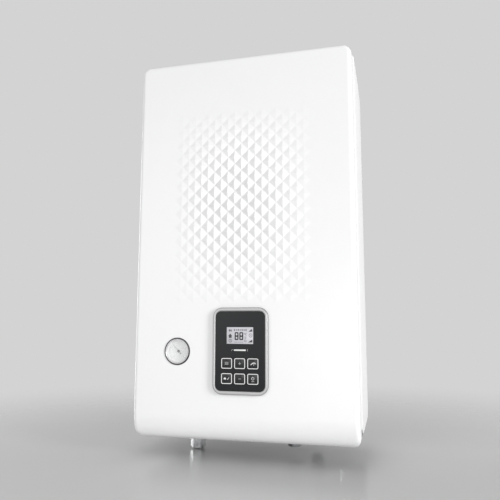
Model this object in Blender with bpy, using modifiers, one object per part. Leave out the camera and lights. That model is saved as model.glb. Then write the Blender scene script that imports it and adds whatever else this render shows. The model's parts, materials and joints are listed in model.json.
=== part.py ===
"""Wall-hung electric boiler: cover, control panel, gauge, casing and the works inside.

Metres, +Z up, front towards -Y. The origin is the centre of the wall bracket's rear face.
Heights are named above the cover's lower edge, depths behind the cover's front plane.
"""
import math

import bmesh
import bpy
from mathutils import Matrix, Vector

# Clearances and cuts
GAP = 0.0003
OVERRUN = 0.002
EMBED = 0.0006
MERGE = 0.00005

# Body
COVER_WIDTH = 0.380
COVER_HEIGHT = 0.662
BODY_DEPTH = 0.235
ORIGIN_HEIGHT = 0.572

# Front cover
RIM_DEPTH = 0.036
COVER_CORNER = 0.015
COVER_EDGE = 0.007
COVER_WALL = 0.0022
CHIN_HEIGHT = 0.0435
CHIN_DEPTH = 0.030
CHIN_HEIGHT_SHARES = (0.46, 0.6, 0.78, 1.0)
GUIDE_WIDTH = 0.024
GUIDE_THICKNESS = 0.002
GUIDE_REACH = 0.052
GUIDE_ROOT = 0.016
GUIDE_HEIGHT_SHARES = (0.13, 0.8)
TAB_WIDTH = 0.026
TAB_THICKNESS = 0.002
TAB_REACH = 0.060
TAB_INSET = 0.090

# Pyramid relief
RELIEF_PITCH = 0.012
RELIEF_COLUMNS = 20
RELIEF_ROWS = 28
RELIEF_PEAK = 0.0039
RELIEF_BASE = 0.0001
RELIEF_HEIGHT = 0.3948
RELIEF_FADE_POWER = 2.5

# Cover screws
SCREW_SHANK = 0.0020
SCREW_HEAD = 0.0042
SCREW_HEAD_HEIGHT = 0.0028
SCREW_REACH = 0.010

# Control panel
BEZEL_WIDTH = 0.0934
BEZEL_HEIGHT = 0.1414
BEZEL_CORNER = 0.016
BEZEL_PROUD = 0.0060
BEZEL_CHAMFER = 0.0012
PANEL_HEIGHT = 0.1490
FACE_WIDTH = 0.0836
FACE_HEIGHT = 0.1285
FACE_CORNER = 0.0092
FACE_THICKNESS = 0.0020
FACE_RECESS = 0.0005
HOUSING_MARGIN = 0.0012
HOUSING_DEPTH = 0.024
HOUSING_WALL = 0.0016
BOARD_THICKNESS = 0.0016
BOARD_SETBACK = 0.0050
DISPLAY_WIDTH = 0.0448
DISPLAY_HEIGHT = 0.0271
DISPLAY_RISE = 0.0249
DISPLAY_THICKNESS = 0.0026
LIGHT_WIDTH = 0.0202
LIGHT_HEIGHT = 0.0025
LIGHT_RISE = 0.0012
KEY_WIDTH = 0.0188
KEY_HEIGHT = 0.0175
KEY_CORNER = 0.0030
KEY_PITCH_X = 0.0221
KEY_PITCH_Z = 0.0244
KEY_DROP = 0.0324
KEY_PROUD = 0.0004
KEY_FLANGE = 0.0010
KEY_FLANGE_THICKNESS = 0.0010
KEY_NAMES = (("key_heating", "key_plus", "key_hot_water"), ("key_mode", "key_minus", "key_power"))

# Gauge
GAUGE_INSET = 0.0789
GAUGE_HEIGHT = 0.1467
GAUGE_RIM = 0.0224
GAUGE_RIM_INNER = 0.0198
GAUGE_PROUD = 0.0014
GAUGE_RIM_DEPTH = 0.0030
GAUGE_CASE = 0.0212
GAUGE_CASE_WALL = 0.0012
GAUGE_CASE_DEPTH = 0.052
GAUGE_LENS_THICKNESS = 0.0010
GAUGE_DIAL_DEPTH = 0.0070
GAUGE_DIAL_THICKNESS = 0.0008
GAUGE_STEM = 0.0040
GAUGE_STEM_LENGTH = 0.0070
GAUGE_TUBE = 0.0016
GAUGE_TUBE_DROP = 0.026
GAUGE_TUBE_BEND = 0.010
NEEDLE_LENGTH = 0.0150
NEEDLE_TAIL = 0.0065
NEEDLE_WIDTH = 0.0016
NEEDLE_TIP = 0.0006
NEEDLE_THICKNESS = 0.0006
NEEDLE_HUB = 0.0023
NEEDLE_HUB_LENGTH = 0.0026
NEEDLE_PIN = 0.0008
NEEDLE_REST = math.radians(132)

# Casing
CASING_PROUD = 0.002
CASING_WALL = 0.0015
CASING_TOP = 0.6597
CASING_BOTTOM = 0.018
CASING_CORNER = 0.004
CASING_LIP = 0.0055
CASING_GAP = 0.002
CASING_FRONT_ROUND = 0.014
CASING_REAR_ROUND = 0.025

# Tray under the casing
TRAY_INSET = 0.003
TRAY_FLOOR = 0.004
TRAY_TOP = 0.045
TRAY_WALL = 0.0015
TRAY_CORNER = 0.006
TRAY_SETBACK = 0.0045
TRAY_EAR = 0.014
TRAY_EAR_SHARES = (0.25, 0.75)
SLOT_WIDTH = 0.0050
SLOT_REACH = 0.0140

# Back plate and wall bracket
PLATE_STANDOFF = 0.012
PLATE_THICKNESS = 0.0015
PLATE_BOTTOM = 0.020
FOOT_WIDTH = 0.030
FOOT_INSET = 0.065
FOOT_BOTTOM = 0.060
FOOT_TOP = 0.085
BRACKET_WIDTH = 0.260
BRACKET_STEEL = 0.0020
BRACKET_HALF = 0.017
BRACKET_REACH = 0.0085
BRACKET_LIP = 0.012
BRACKET_HOLE = 0.004
BRACKET_HOLE_X = 0.095
HOOK_WIDTH = 0.200
HOOK_DROP = 0.010

# Rail behind the cover
RAIL_DEPTH = 0.045
RAIL_STEEL = 0.0015
RAIL_HALF = 0.028
RAIL_FLANGE = 0.012

# Line of fittings, behind the cover's front plane
PIPE_LINE = 0.120
PIPE_RADIUS = 0.0090
PIPE_WALL = 0.0010
PIPE_BEND = 0.020

# Tank
TANK_SIDE_CLEARANCE = 0.0219
TANK_RADIUS = 0.055
TANK_WALL = 0.0015
TANK_BOTTOM = 0.240
TANK_TOP = 0.560
TANK_SHOULDER = 0.020
TANK_NECK = 0.040
TANK_FLANGE = 0.050
TANK_FLANGE_THICKNESS = 0.005
TANK_PORT = 0.008
SUPPLY_PORT_HEIGHT = 0.520
FLOW_PORT_RISE = 0.035
ELEMENT_RADIUS = 0.004
ELEMENT_HALF_WIDTH = 0.011
ELEMENT_RING = 0.018
ELEMENT_RISE = 0.020
ELEMENT_CLEARANCE = 0.0403
ELEMENT_BEND_STEPS = 6
STRAP_STEEL = 0.0015
STRAP_WIDTH = 0.018
STRAP_FOOT = 0.012
STRAP_HEIGHT_SHARES = (0.28, 0.75)

# Expansion vessel
VESSEL_CLEARANCE = 0.0033
VESSEL_SIDE_CLEARANCE = 0.0055
VESSEL_HEIGHT = 0.450
VESSEL_WALL = 0.0012
VESSEL_HALF = 0.033
VESSEL_RIM = 0.012
VESSEL_SHOULDER = 0.028
VESSEL_TURN = 0.012
VESSEL_FLAT = 0.035
VESSEL_BOSS = 0.015
VESSEL_BOSS_LENGTH = 0.0027
MEMBRANE_THICKNESS = 0.0015
MEMBRANE_SAG = 0.012
MEMBRANE_FLAT_SHARE = 0.6

# Pump
PUMP_INSET = 0.122
PUMP_HEIGHT = 0.135
PUMP_RADIUS = 0.042
PUMP_HALF_DEPTH = 0.015
PUMP_PORT = 0.0125
PUMP_PORT_HALF = 0.058
PUMP_BORE = 0.008
PUMP_CHAMBER = 0.034
PUMP_FLOOR = 0.004
MOTOR_RADIUS = 0.040
MOTOR_LENGTH = 0.050
MOTOR_BORE = 0.0195
MOTOR_END = 0.006
MOTOR_BEARING = 0.0043
MOTOR_BEARING_DEPTH = 0.003
MOTOR_BOX_WIDTH = 0.046
MOTOR_BOX_DEPTH = 0.036
MOTOR_BOX_HEIGHT = 0.026
ROTOR_CORE = 0.0175
ROTOR_CORE_START = 0.010
ROTOR_NECK = 0.006
ROTOR_SHAFT = 0.004
IMPELLER_RADIUS = 0.031
IMPELLER_THICKNESS = 0.012
IMPELLER_CLEAR = 0.003

# Fittings under the tray
SUPPLY_VALVE_TOP = 0.0037
SUPPLY_VALVE_LENGTH = 0.0377
SUPPLY_VALVE_BODY = 0.0122
SUPPLY_VALVE_HEX = 0.0150
SUPPLY_VALVE_HEX_LENGTH = 0.0180
SUPPLY_VALVE_BORE = 0.0072
SUPPLY_BOSS = 0.0055
SUPPLY_BOSS_REACH = 0.0170
SUPPLY_STEM_HEIGHT = -0.0080
LEVER_LENGTH = 0.027
LEVER_WIDTH = 0.0080
LEVER_THICKNESS = 0.0026
LEVER_HUB = 0.0050
LEVER_STEM = 0.0020
LEVER_STEM_LENGTH = 0.0045
RETURN_END = -0.0220
RETURN_PIPE_RADIUS = 0.0090
RETURN_NUT_HEX = 0.0118
RETURN_NUT_LENGTH = 0.0160
INLET_SHARE = 0.435
INLET_RADIUS = 0.0085
INLET_END = -0.0180
INLET_TURN_HEIGHT = 0.075
FILL_OFFSET = 0.0356
FILL_RADIUS = 0.0100
FILL_TOP = 0.088
FILL_BOTTOM = -0.001
FILL_SPIGOT = 0.0070
FILL_STEM = 0.0030
FILL_STEM_LENGTH = 0.0080
KNOB_RADIUS = 0.0150
KNOB_HUB = 0.0085
KNOB_THICKNESS = 0.0100
KNOB_POINTS = 5
RELIEF_VALVE_INSET = 0.045
RELIEF_TUBE = 0.0085
RELIEF_TUBE_WALL = 0.0015
RELIEF_END = -0.0120
RELIEF_BODY = 0.0140
RELIEF_BODY_HALF = 0.0170
RELIEF_SPIGOT = 0.0070
RELIEF_KNOB = 0.0160
RELIEF_KNOB_HEIGHT = 0.0200
RELIEF_KNOB_SIDES = 8
RELIEF_KNOB_EDGE = 0.001
GLAND_INSET = 0.090
GLAND_WALL_DISTANCE = 0.050
GLAND_BORE = 0.0065
GLAND_THREAD = 0.0095
GLAND_BODY = 0.0130
GLAND_END = -0.0200
GLAND_TOP = 0.0160

# Air vent on the tank flange
VENT_RADIUS = 0.0120
VENT_HEIGHT = 0.040
VENT_NECK = 0.0045
VENT_NECK_HEIGHT = 0.006
VENT_CAP = 0.0065
VENT_CAP_HEIGHT = 0.0080
VENT_CAP_WALL = 0.0015

# Switches and electrics
SWITCH_SHARE = 0.55
SWITCH_HALF = 0.016
CUTOUT_RADIUS = 0.0085
CUTOUT_LENGTH = 0.010
CUTOUT_HEIGHT = 0.420
CARRIER_CLEARANCE = 0.0636
CARRIER_RISE = 0.040
CARRIER_TOP = 0.600
CARRIER_DISTANCE = 0.100
CARRIER_STEEL = 0.0012
CARRIER_FLANGE = 0.020
POST_RADIUS = 0.0030
POST_LENGTH = 0.0060
CONTROL_BOARD_MARGIN = 0.012
POST_MARGIN = 0.008
TRANSFORMER_WIDTH = 0.042
TRANSFORMER_DEPTH = 0.032
TRANSFORMER_HEIGHT = 0.036
TRANSFORMER_SHARES = (0.28, 0.8)
CONTACTOR_WIDTH = 0.040
CONTACTOR_DEPTH = 0.034
CONTACTOR_HEIGHT = 0.052
CONTACTOR_SHARES = (0.7, 0.22)
TERMINAL_WIDTH = 0.072
TERMINAL_DEPTH = 0.022
TERMINAL_THICKNESS = 0.026
TERMINAL_INSET = 0.080
TERMINAL_HEIGHT = 0.110

# Roundness
ROUND = 24
SMALL_ROUND = 12
PIPE_SIDES = 2
ARC_STEPS = 4

half_width = COVER_WIDTH / 2
casing_half = half_width + CASING_PROUD
casing_inner = casing_half - CASING_WALL
casing_front = RIM_DEPTH + CASING_GAP
lip_edge = casing_half - CASING_LIP
tray_half = half_width - TRAY_INSET
plate_front = PLATE_STANDOFF + PLATE_THICKNESS
flow_height = TANK_BOTTOM + FLOW_PORT_RISE

# Places across the width, from the side walls inwards
tab_x = half_width - TAB_INSET
foot_x = half_width - FOOT_INSET
gauge_x = -(half_width - GAUGE_INSET)
tank_x = -(casing_inner - TANK_SIDE_CLEARANCE - TANK_RADIUS)
tank_side = tank_x + TANK_RADIUS + GAP
fill_x = tank_x + FILL_OFFSET
pump_x = half_width - PUMP_INSET
inlet_x = fill_x + (pump_x - fill_x) * INLET_SHARE
switch_x = tank_side + (pump_x - PIPE_BEND - tank_side) * SWITCH_SHARE
relief_valve_x = half_width - RELIEF_VALVE_INSET
gland_x = half_width - GLAND_INSET
terminal_x = half_width - TERMINAL_INSET
carrier_left = tank_side + CARRIER_CLEARANCE - GAP
vessel_left = tank_side + CUTOUT_LENGTH + VESSEL_CLEARANCE
vessel_right = casing_inner - VESSEL_SIDE_CLEARANCE
vessel_radius = (vessel_right - vessel_left) / 2
vessel_x = (vessel_right + vessel_left) / 2


def from_front(depth):
    """Y of a place this far behind the cover's front plane."""
    return depth - BODY_DEPTH


def from_wall(distance):
    """Y of a place this far in front of the wall."""
    return -distance


def above(height):
    """Z of a place this high above the cover's lower edge."""
    return height - ORIGIN_HEIGHT


def clear_scene():
    for old in list(bpy.data.objects):
        bpy.data.objects.remove(old, do_unlink=True)
    for name in ("electric_boiler", "cutters"):
        bpy.context.scene.collection.children.link(bpy.data.collections.new(name))


def material(name, colour, roughness, metallic=0.0):
    made = bpy.data.materials.new(name)
    made.use_nodes = True
    shader = made.node_tree.nodes["Principled BSDF"]
    shader.inputs["Base Color"].default_value = (*colour, 1.0)
    shader.inputs["Roughness"].default_value = roughness
    shader.inputs["Metallic"].default_value = metallic
    return made


def place(name, mesh, location=(0, 0, 0)):
    made = bpy.data.objects.new(name, mesh)
    made.location = location
    bpy.data.collections["electric_boiler"].objects.link(made)
    return made


def finish(made, colour, roughness, metallic=0.0):
    """Give a sub-part its own material and smooth its round faces."""
    made.data.materials.clear()
    made.data.materials.append(material(made.name + "_finish", colour, roughness, metallic))
    if made.type == "MESH":
        made.data.shade_smooth()
        made.data.set_sharp_from_angle(angle=math.radians(35))
    return made


def mesh_from(work, name):
    mesh = bpy.data.meshes.new(name)
    work.to_mesh(mesh)
    work.free()
    return mesh


def box(name, low, high):
    """A box from its lowest to its highest corner."""
    low = Vector(low)
    high = Vector(high)
    work = bmesh.new()
    bmesh.ops.create_cube(work, size=1.0)
    bmesh.ops.scale(work, vec=high - low, verts=work.verts)
    return place(name, mesh_from(work, name), (low + high) / 2)


def cylinder(name, radius, start, end, segments=ROUND, turn=0.0):
    start = Vector(start)
    end = Vector(end)
    way = end - start
    work = bmesh.new()
    bmesh.ops.create_cone(work, cap_ends=True, segments=segments, radius1=radius, radius2=radius,
                          depth=way.length, matrix=Matrix.Rotation(turn, 4, "Z"))
    made = place(name, mesh_from(work, name), (start + end) / 2)
    made.rotation_euler = way.to_track_quat("Z", "Y").to_euler()
    return made


def turned(name, profile, base, way=(0, 0, 1), segments=ROUND, ring=False):
    """Turn a profile of (radius, height) points about its axis. Its outer side runs downwards."""
    mesh = bpy.data.meshes.new(name)
    count = len(profile)
    edges = [(i, i + 1) for i in range(count - 1)]
    if ring:
        edges.append((count - 1, 0))
    mesh.from_pydata([(radius, 0, height) for radius, height in profile], edges, [])
    made = place(name, mesh, base)
    made.rotation_euler = Vector(way).to_track_quat("Z", "Y").to_euler()
    screw = made.modifiers.new("Turn", "SCREW")
    screw.steps = segments
    screw.render_steps = segments
    screw.use_merge_vertices = True
    screw.merge_threshold = MERGE
    screw.use_smooth_shade = True
    return made


def evaluated_mesh(made, name):
    """A mesh copy of an object as it is drawn, with its seams welded."""
    bpy.context.view_layer.update()
    graph = bpy.context.evaluated_depsgraph_get()
    mesh = bpy.data.meshes.new_from_object(made.evaluated_get(graph))
    mesh.name = name
    work = bmesh.new()
    work.from_mesh(mesh)
    bmesh.ops.remove_doubles(work, verts=work.verts, dist=MERGE)
    bmesh.ops.recalc_face_normals(work, faces=work.faces)
    work.to_mesh(mesh)
    work.free()
    return mesh


def curve_object(name, lines, closed, dimensions):
    curve = bpy.data.curves.new(name, "CURVE")
    curve.dimensions = dimensions
    for line in lines:
        spline = curve.splines.new("POLY")
        spline.points.add(len(line) - 1)
        for point, where in zip(spline.points, line):
            point.co = (*where, 1.0) if len(where) == 3 else (where[0], where[1], 0.0, 1.0)
        spline.use_cyclic_u = closed
    made = bpy.data.objects.new(name + "_curve", curve)
    bpy.data.collections["electric_boiler"].objects.link(made)
    return made


def prism(name, outline, low, high, axis, holes=()):
    """A flat outline with thickness, from low to high along X, Y or Z.

    The outline's points are (y, z) along X, (x, z) along Y and (x, y) along Z.
    """
    drawn = curve_object(name, (outline, *holes), True, "2D")
    drawn.data.fill_mode = "BOTH"
    drawn.data.extrude = (high - low) / 2
    mesh = evaluated_mesh(drawn, name)
    bpy.data.objects.remove(drawn, do_unlink=True)
    columns = {"X": ((0, 1, 0), (0, 0, 1), (1, 0, 0)), "Y": ((1, 0, 0), (0, 0, 1), (0, -1, 0)),
               "Z": ((1, 0, 0), (0, 1, 0), (0, 0, 1))}[axis]
    made = place(name, mesh)
    made.matrix_world = Matrix(columns).transposed().to_4x4()
    made.location["XYZ".index(axis)] = (low + high) / 2
    return made


def rounded_route(points, bend, steps=ARC_STEPS):
    """The points of a pipe's centre line, each corner rounded to the bend radius."""
    points = [Vector(point) for point in points]
    route = [points[0]]
    for before, corner, after in zip(points, points[1:], points[2:]):
        back = (before - corner).normalized()
        on = (after - corner).normalized()
        half = back.angle(on) / 2
        reach = bend / math.tan(half)
        centre = corner + (back + on).normalized() * (bend / math.sin(half))
        first = corner + back * reach - centre
        last = corner + on * reach - centre
        for i in range(steps + 1):
            route.append(centre + first.slerp(last, i / steps).normalized() * bend)
    route.append(points[-1])
    return [tuple(point) for point in route]


def rod(name, route, radius, resolution=PIPE_SIDES):
    """A solid wire or bar along a route."""
    drawn = curve_object(name, (route,), False, "3D")
    drawn.data.bevel_depth = radius
    drawn.data.bevel_resolution = resolution
    drawn.data.use_fill_caps = True
    mesh = evaluated_mesh(drawn, name)
    bpy.data.objects.remove(drawn, do_unlink=True)
    return place(name, mesh)


def pipe(name, route, radius, wall, resolution=PIPE_SIDES):
    """A tube along a route, open at both ends."""
    drawn = curve_object(name, (route,), False, "3D")
    drawn.data.bevel_depth = radius
    drawn.data.bevel_resolution = resolution
    mesh = evaluated_mesh(drawn, name)
    bpy.data.objects.remove(drawn, do_unlink=True)
    made = place(name, mesh)
    solidify(made, wall)
    return made


def solidify(made, wall):
    shell = made.modifiers.new("Wall", "SOLIDIFY")
    shell.thickness = wall
    shell.offset = -1.0
    shell.use_even_offset = True
    return made


def loft(name, rings, closed=True, cap=None):
    """A skin through rings of the same count of points; cap lists the last ring's faces."""
    work = bmesh.new()
    rows = [[work.verts.new(point) for point in ring] for ring in rings]
    count = len(rows[0])
    last = count if closed else count - 1
    for row, other in zip(rows, rows[1:]):
        for i in range(last):
            j = (i + 1) % count
            work.faces.new((row[i], row[j], other[j], other[i]))
    for face in cap or ():
        work.faces.new([rows[-1][i] for i in face])
    bmesh.ops.recalc_face_normals(work, faces=work.faces)
    return place(name, mesh_from(work, name))


def use_on(target, tool, operation):
    """Cut a tool from a target, or join it to it, and put the tool with the cutters."""
    step = target.modifiers.new(operation.title(), "BOOLEAN")
    step.operation = operation
    step.solver = "EXACT"
    step.object = tool
    for holder in list(tool.users_collection):
        holder.objects.unlink(tool)
    bpy.data.collections["cutters"].objects.link(tool)
    tool.hide_render = True
    tool.display_type = "WIRE"
    return target


def cut(target, *tools):
    for tool in tools:
        use_on(target, tool, "DIFFERENCE")
    return target


def join(target, *tools):
    for tool in tools:
        use_on(target, tool, "UNION")
    return target


def bevel(made, width, segments=1, angle=40):
    edge = made.modifiers.new("Edge", "BEVEL")
    edge.width = width
    edge.segments = segments
    edge.limit_method = "ANGLE"
    edge.angle_limit = math.radians(angle)
    return made


def arc(centre, radius, start, end, steps=ARC_STEPS):
    """Points of an arc in a plane, from one angle to another, in degrees."""
    points = []
    for i in range(steps + 1):
        angle = math.radians(start + (end - start) * i / steps)
        points.append((centre[0] + radius * math.cos(angle), centre[1] + radius * math.sin(angle)))
    return points


def rounded_rectangle(width, height, radius, centre=(0, 0), steps=ARC_STEPS):
    across = width / 2 - radius
    up = height / 2 - radius
    points = []
    for side_x, side_y, start in ((1, -1, -90), (1, 1, 0), (-1, 1, 90), (-1, -1, 180)):
        corner = (centre[0] + side_x * across, centre[1] + side_y * up)
        points += arc(corner, radius, start, start + 90, steps)
    return points


def chin(height):
    """How far the cover's lower face has rolled back at a height."""
    if height >= CHIN_HEIGHT:
        return 0.0
    share = (CHIN_HEIGHT - height) / CHIN_HEIGHT
    return CHIN_DEPTH * (1 - math.sqrt(max(0.0, 1 - share * share)))


def cover_ring(inset, depth):
    """The cover's outline, inset and set back, with the rolled chin."""
    radius = COVER_CORNER - inset
    across = half_width - COVER_CORNER
    right = arc((across, COVER_CORNER), radius, -90, 0)
    right += [(half_width - inset, CHIN_HEIGHT * share) for share in CHIN_HEIGHT_SHARES]
    right += arc((across, COVER_HEIGHT - COVER_CORNER), radius, 0, 90)
    left = [(-x, height) for x, height in reversed(right)]
    ring = []
    for x, height in right + left:
        back = chin(height)
        ring.append((x, from_front(back + depth * (RIM_DEPTH - back) / RIM_DEPTH), above(height)))
    return ring


def relief_pad():
    """Four-sided pyramids on a diamond lattice, tall in the middle and flat at the borders."""
    work = bmesh.new()
    across = RELIEF_COLUMNS * RELIEF_PITCH / 2
    up = RELIEF_ROWS * RELIEF_PITCH / 2
    bmesh.ops.create_grid(work, x_segments=RELIEF_COLUMNS, y_segments=RELIEF_ROWS, size=1.0)
    bmesh.ops.scale(work, vec=(across, up, 1.0), verts=work.verts)
    peaks = set()
    for vert in work.verts:
        column = round(vert.co.x / RELIEF_PITCH)
        row = round(vert.co.y / RELIEF_PITCH)
        if (column + row) % 2 == 0:
            peaks.add(vert)
            fade_x = 1 - abs(vert.co.x / across) ** RELIEF_FADE_POWER
            fade_z = 1 - abs(vert.co.y / up) ** RELIEF_FADE_POWER
            vert.co.z = RELIEF_PEAK * fade_x * fade_z
    for face in list(work.faces):
        valley = [vert for vert in face.verts if vert not in peaks]
        bmesh.utils.face_split(face, valley[0], valley[1])
    rim = [edge for edge in work.edges if edge.is_boundary]
    grown = bmesh.ops.extrude_edge_only(work, edges=rim)["geom"]
    floor = [part for part in grown if isinstance(part, bmesh.types.BMVert)]
    for vert in floor:
        vert.co.z = -RELIEF_BASE - COVER_WALL / 2
    bmesh.ops.contextual_create(work, geom=[edge for edge in work.edges if edge.is_boundary])
    bmesh.ops.recalc_face_normals(work, faces=work.faces)
    made = place("relief_pad", mesh_from(work, "relief_pad"))
    made.rotation_euler = (math.radians(90), 0, 0)
    made.location = (0, from_front(-RELIEF_BASE), above(RELIEF_HEIGHT))
    return made


def guide(side, height):
    """A tab on the cover's side wall that centres it inside the casing's lip."""
    outer = side * (lip_edge - GAP)
    inner = outer - side * GUIDE_THICKNESS
    wall = side * (half_width - COVER_WALL + EMBED)
    root = from_front(GUIDE_ROOT)
    edge = from_front(RIM_DEPTH - GAP)
    reach = from_front(GUIDE_REACH)
    outline = [(inner, root), (wall, root), (wall, edge), (outer, edge), (outer, reach), (inner, reach)]
    half = GUIDE_WIDTH / 2
    return prism("cover_guide", outline, above(height - half), above(height + half), "Z")


def front_cover():
    rings = [cover_ring(0.0, RIM_DEPTH)]
    for i in range(ARC_STEPS + 1):
        angle = math.radians(90 * i / ARC_STEPS)
        rings.append(cover_ring(COVER_EDGE * (1 - math.cos(angle)), COVER_EDGE * (1 - math.sin(angle))))
    count = len(rings[0])
    rows = [(i, i + 1, count - 2 - i, count - 1 - i) for i in range(count // 2 - 1)]
    made = solidify(loft("front_cover", rings, cap=rows), COVER_WALL)
    join(made, relief_pad())
    for side in (-1, 1):
        for share in GUIDE_HEIGHT_SHARES:
            join(made, guide(side, COVER_HEIGHT * share))
        tab_top = TRAY_FLOOR - GAP
        tab = box("cover_tab", (side * tab_x - TAB_WIDTH / 2, from_front(CHIN_DEPTH + EMBED),
                                above(tab_top - TAB_THICKNESS)),
                  (side * tab_x + TAB_WIDTH / 2, from_front(TAB_REACH), above(tab_top)))
        join(made, tab)
        screw_y = from_front(casing_front + SLOT_REACH - SLOT_WIDTH / 2)
        cut(made, cylinder("tab_hole", SCREW_SHANK + GAP, (side * tab_x, screw_y, above(-OVERRUN)),
                           (side * tab_x, screw_y, above(TRAY_TOP)), SMALL_ROUND))
    opening = rounded_rectangle(FACE_WIDTH - 2 * HOUSING_MARGIN + 2 * GAP,
                                FACE_HEIGHT - 2 * HOUSING_MARGIN + 2 * GAP,
                                FACE_CORNER - HOUSING_MARGIN, (0, above(PANEL_HEIGHT)))
    cut(made, prism("panel_opening", opening, from_front(-OVERRUN), from_front(GUIDE_ROOT), "Y"))
    hole = (gauge_x, from_front(-OVERRUN), above(GAUGE_HEIGHT))
    cut(made, cylinder("gauge_hole", GAUGE_RIM + 2 * GAP, hole,
                       (gauge_x, from_front(GUIDE_ROOT), above(GAUGE_HEIGHT)), ROUND))
    return finish(made, (0.88, 0.88, 0.88), 0.35)


def cover_screw(name, side):
    """A captive screw that passes through the cover's tab into the tray's open slot."""
    y = from_front(casing_front + SLOT_REACH - SLOT_WIDTH / 2)
    top = TRAY_FLOOR + SCREW_REACH
    seat = TRAY_FLOOR - GAP - TAB_THICKNESS - GAP
    profile = [(0, top), (SCREW_SHANK, top), (SCREW_SHANK, seat), (SCREW_HEAD, seat),
               (SCREW_HEAD, seat - SCREW_HEAD_HEIGHT), (0, seat - SCREW_HEAD_HEIGHT)]
    made = turned(name, profile, (side * tab_x, y, above(0)), segments=SMALL_ROUND)
    return finish(made, (0.62, 0.63, 0.64), 0.3, 1.0)


def control_panel():
    centre = (0, above(PANEL_HEIGHT))
    front = -BEZEL_PROUD
    face_front = front + FACE_RECESS
    face_back = face_front + FACE_THICKNESS
    bezel = prism("control_bezel", rounded_rectangle(BEZEL_WIDTH, BEZEL_HEIGHT, BEZEL_CORNER, centre),
                  from_front(front), from_front(-GAP), "Y")
    bevel(bezel, BEZEL_CHAMFER, 2)
    inner = rounded_rectangle(FACE_WIDTH + 2 * GAP, FACE_HEIGHT + 2 * GAP, FACE_CORNER + GAP, centre)
    cut(bezel, prism("bezel_opening", inner, from_front(front - OVERRUN), from_front(OVERRUN), "Y"))
    finish(bezel, (0.62, 0.63, 0.65), 0.25, 1.0)
    holes = [rounded_rectangle(KEY_WIDTH + 2 * GAP, KEY_HEIGHT + 2 * GAP, KEY_CORNER + GAP,
                               key_centre(row, column))
             for row in range(2) for column in range(3)]
    window = (0, centre[1] + DISPLAY_RISE)
    slot = (0, centre[1] + LIGHT_RISE)
    holes.append(rounded_rectangle(DISPLAY_WIDTH + 2 * GAP, DISPLAY_HEIGHT + 2 * GAP, GAP, window, 1))
    holes.append(rounded_rectangle(LIGHT_WIDTH + 2 * GAP, LIGHT_HEIGHT + 2 * GAP, GAP, slot, 1))
    face = prism("panel_face", rounded_rectangle(FACE_WIDTH, FACE_HEIGHT, FACE_CORNER, centre),
                 from_front(face_front), from_front(face_back), "Y", holes)
    finish(face, (0.035, 0.037, 0.04), 0.18)
    housing_width = FACE_WIDTH - 2 * HOUSING_MARGIN
    housing_height = FACE_HEIGHT - 2 * HOUSING_MARGIN
    housing_front = face_back + GAP
    rings = []
    for depth in (housing_front, housing_front + HOUSING_DEPTH):
        outline = rounded_rectangle(housing_width, housing_height, FACE_CORNER - HOUSING_MARGIN, centre)
        rings.append([(x, from_front(depth), z) for x, z in outline])
    housing = solidify(loft("panel_housing", rings, cap=[range(len(rings[0]))]), HOUSING_WALL)
    finish(housing, (0.12, 0.12, 0.13), 0.6)
    board_front = housing_front + BOARD_SETBACK
    inset = 2 * (HOUSING_WALL + GAP)
    board = prism("display_board",
                  rounded_rectangle(housing_width - inset, housing_height - inset, FACE_CORNER, centre),
                  from_front(board_front), from_front(board_front + BOARD_THICKNESS), "Y")
    finish(board, (0.03, 0.16, 0.07), 0.5)
    for name, width, height, where in (("lcd_display", DISPLAY_WIDTH, DISPLAY_HEIGHT, window),
                                       ("status_light", LIGHT_WIDTH, LIGHT_HEIGHT, slot)):
        rear = from_front(face_front + DISPLAY_THICKNESS)
        made = box(name, (where[0] - width / 2, from_front(face_front), where[1] - height / 2),
                   (where[0] + width / 2, rear, where[1] + height / 2))
        finish(made, (0.62, 0.64, 0.66), 0.3)


def key_centre(row, column):
    """Place of a key on the panel, X and Z, from the upper left."""
    return ((column - 1) * KEY_PITCH_X, above(PANEL_HEIGHT) - KEY_DROP + (0.5 - row) * KEY_PITCH_Z)


def keys():
    front = -BEZEL_PROUD + FACE_RECESS - KEY_PROUD
    rear = -BEZEL_PROUD + FACE_RECESS + FACE_THICKNESS + GAP
    for row, names in enumerate(KEY_NAMES):
        for column, name in enumerate(names):
            centre = key_centre(row, column)
            cap = prism(name, rounded_rectangle(KEY_WIDTH, KEY_HEIGHT, KEY_CORNER, centre, 2),
                        from_front(front), from_front(rear + KEY_FLANGE_THICKNESS / 2), "Y")
            flange = box("key_flange", (centre[0] - KEY_WIDTH / 2 - KEY_FLANGE, from_front(rear),
                                        centre[1] - KEY_HEIGHT / 2 - KEY_FLANGE),
                         (centre[0] + KEY_WIDTH / 2 + KEY_FLANGE, from_front(rear + KEY_FLANGE_THICKNESS),
                          centre[1] + KEY_HEIGHT / 2 + KEY_FLANGE))
            join(cap, flange)
            finish(cap, (0.03, 0.03, 0.03), 0.3)


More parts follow.
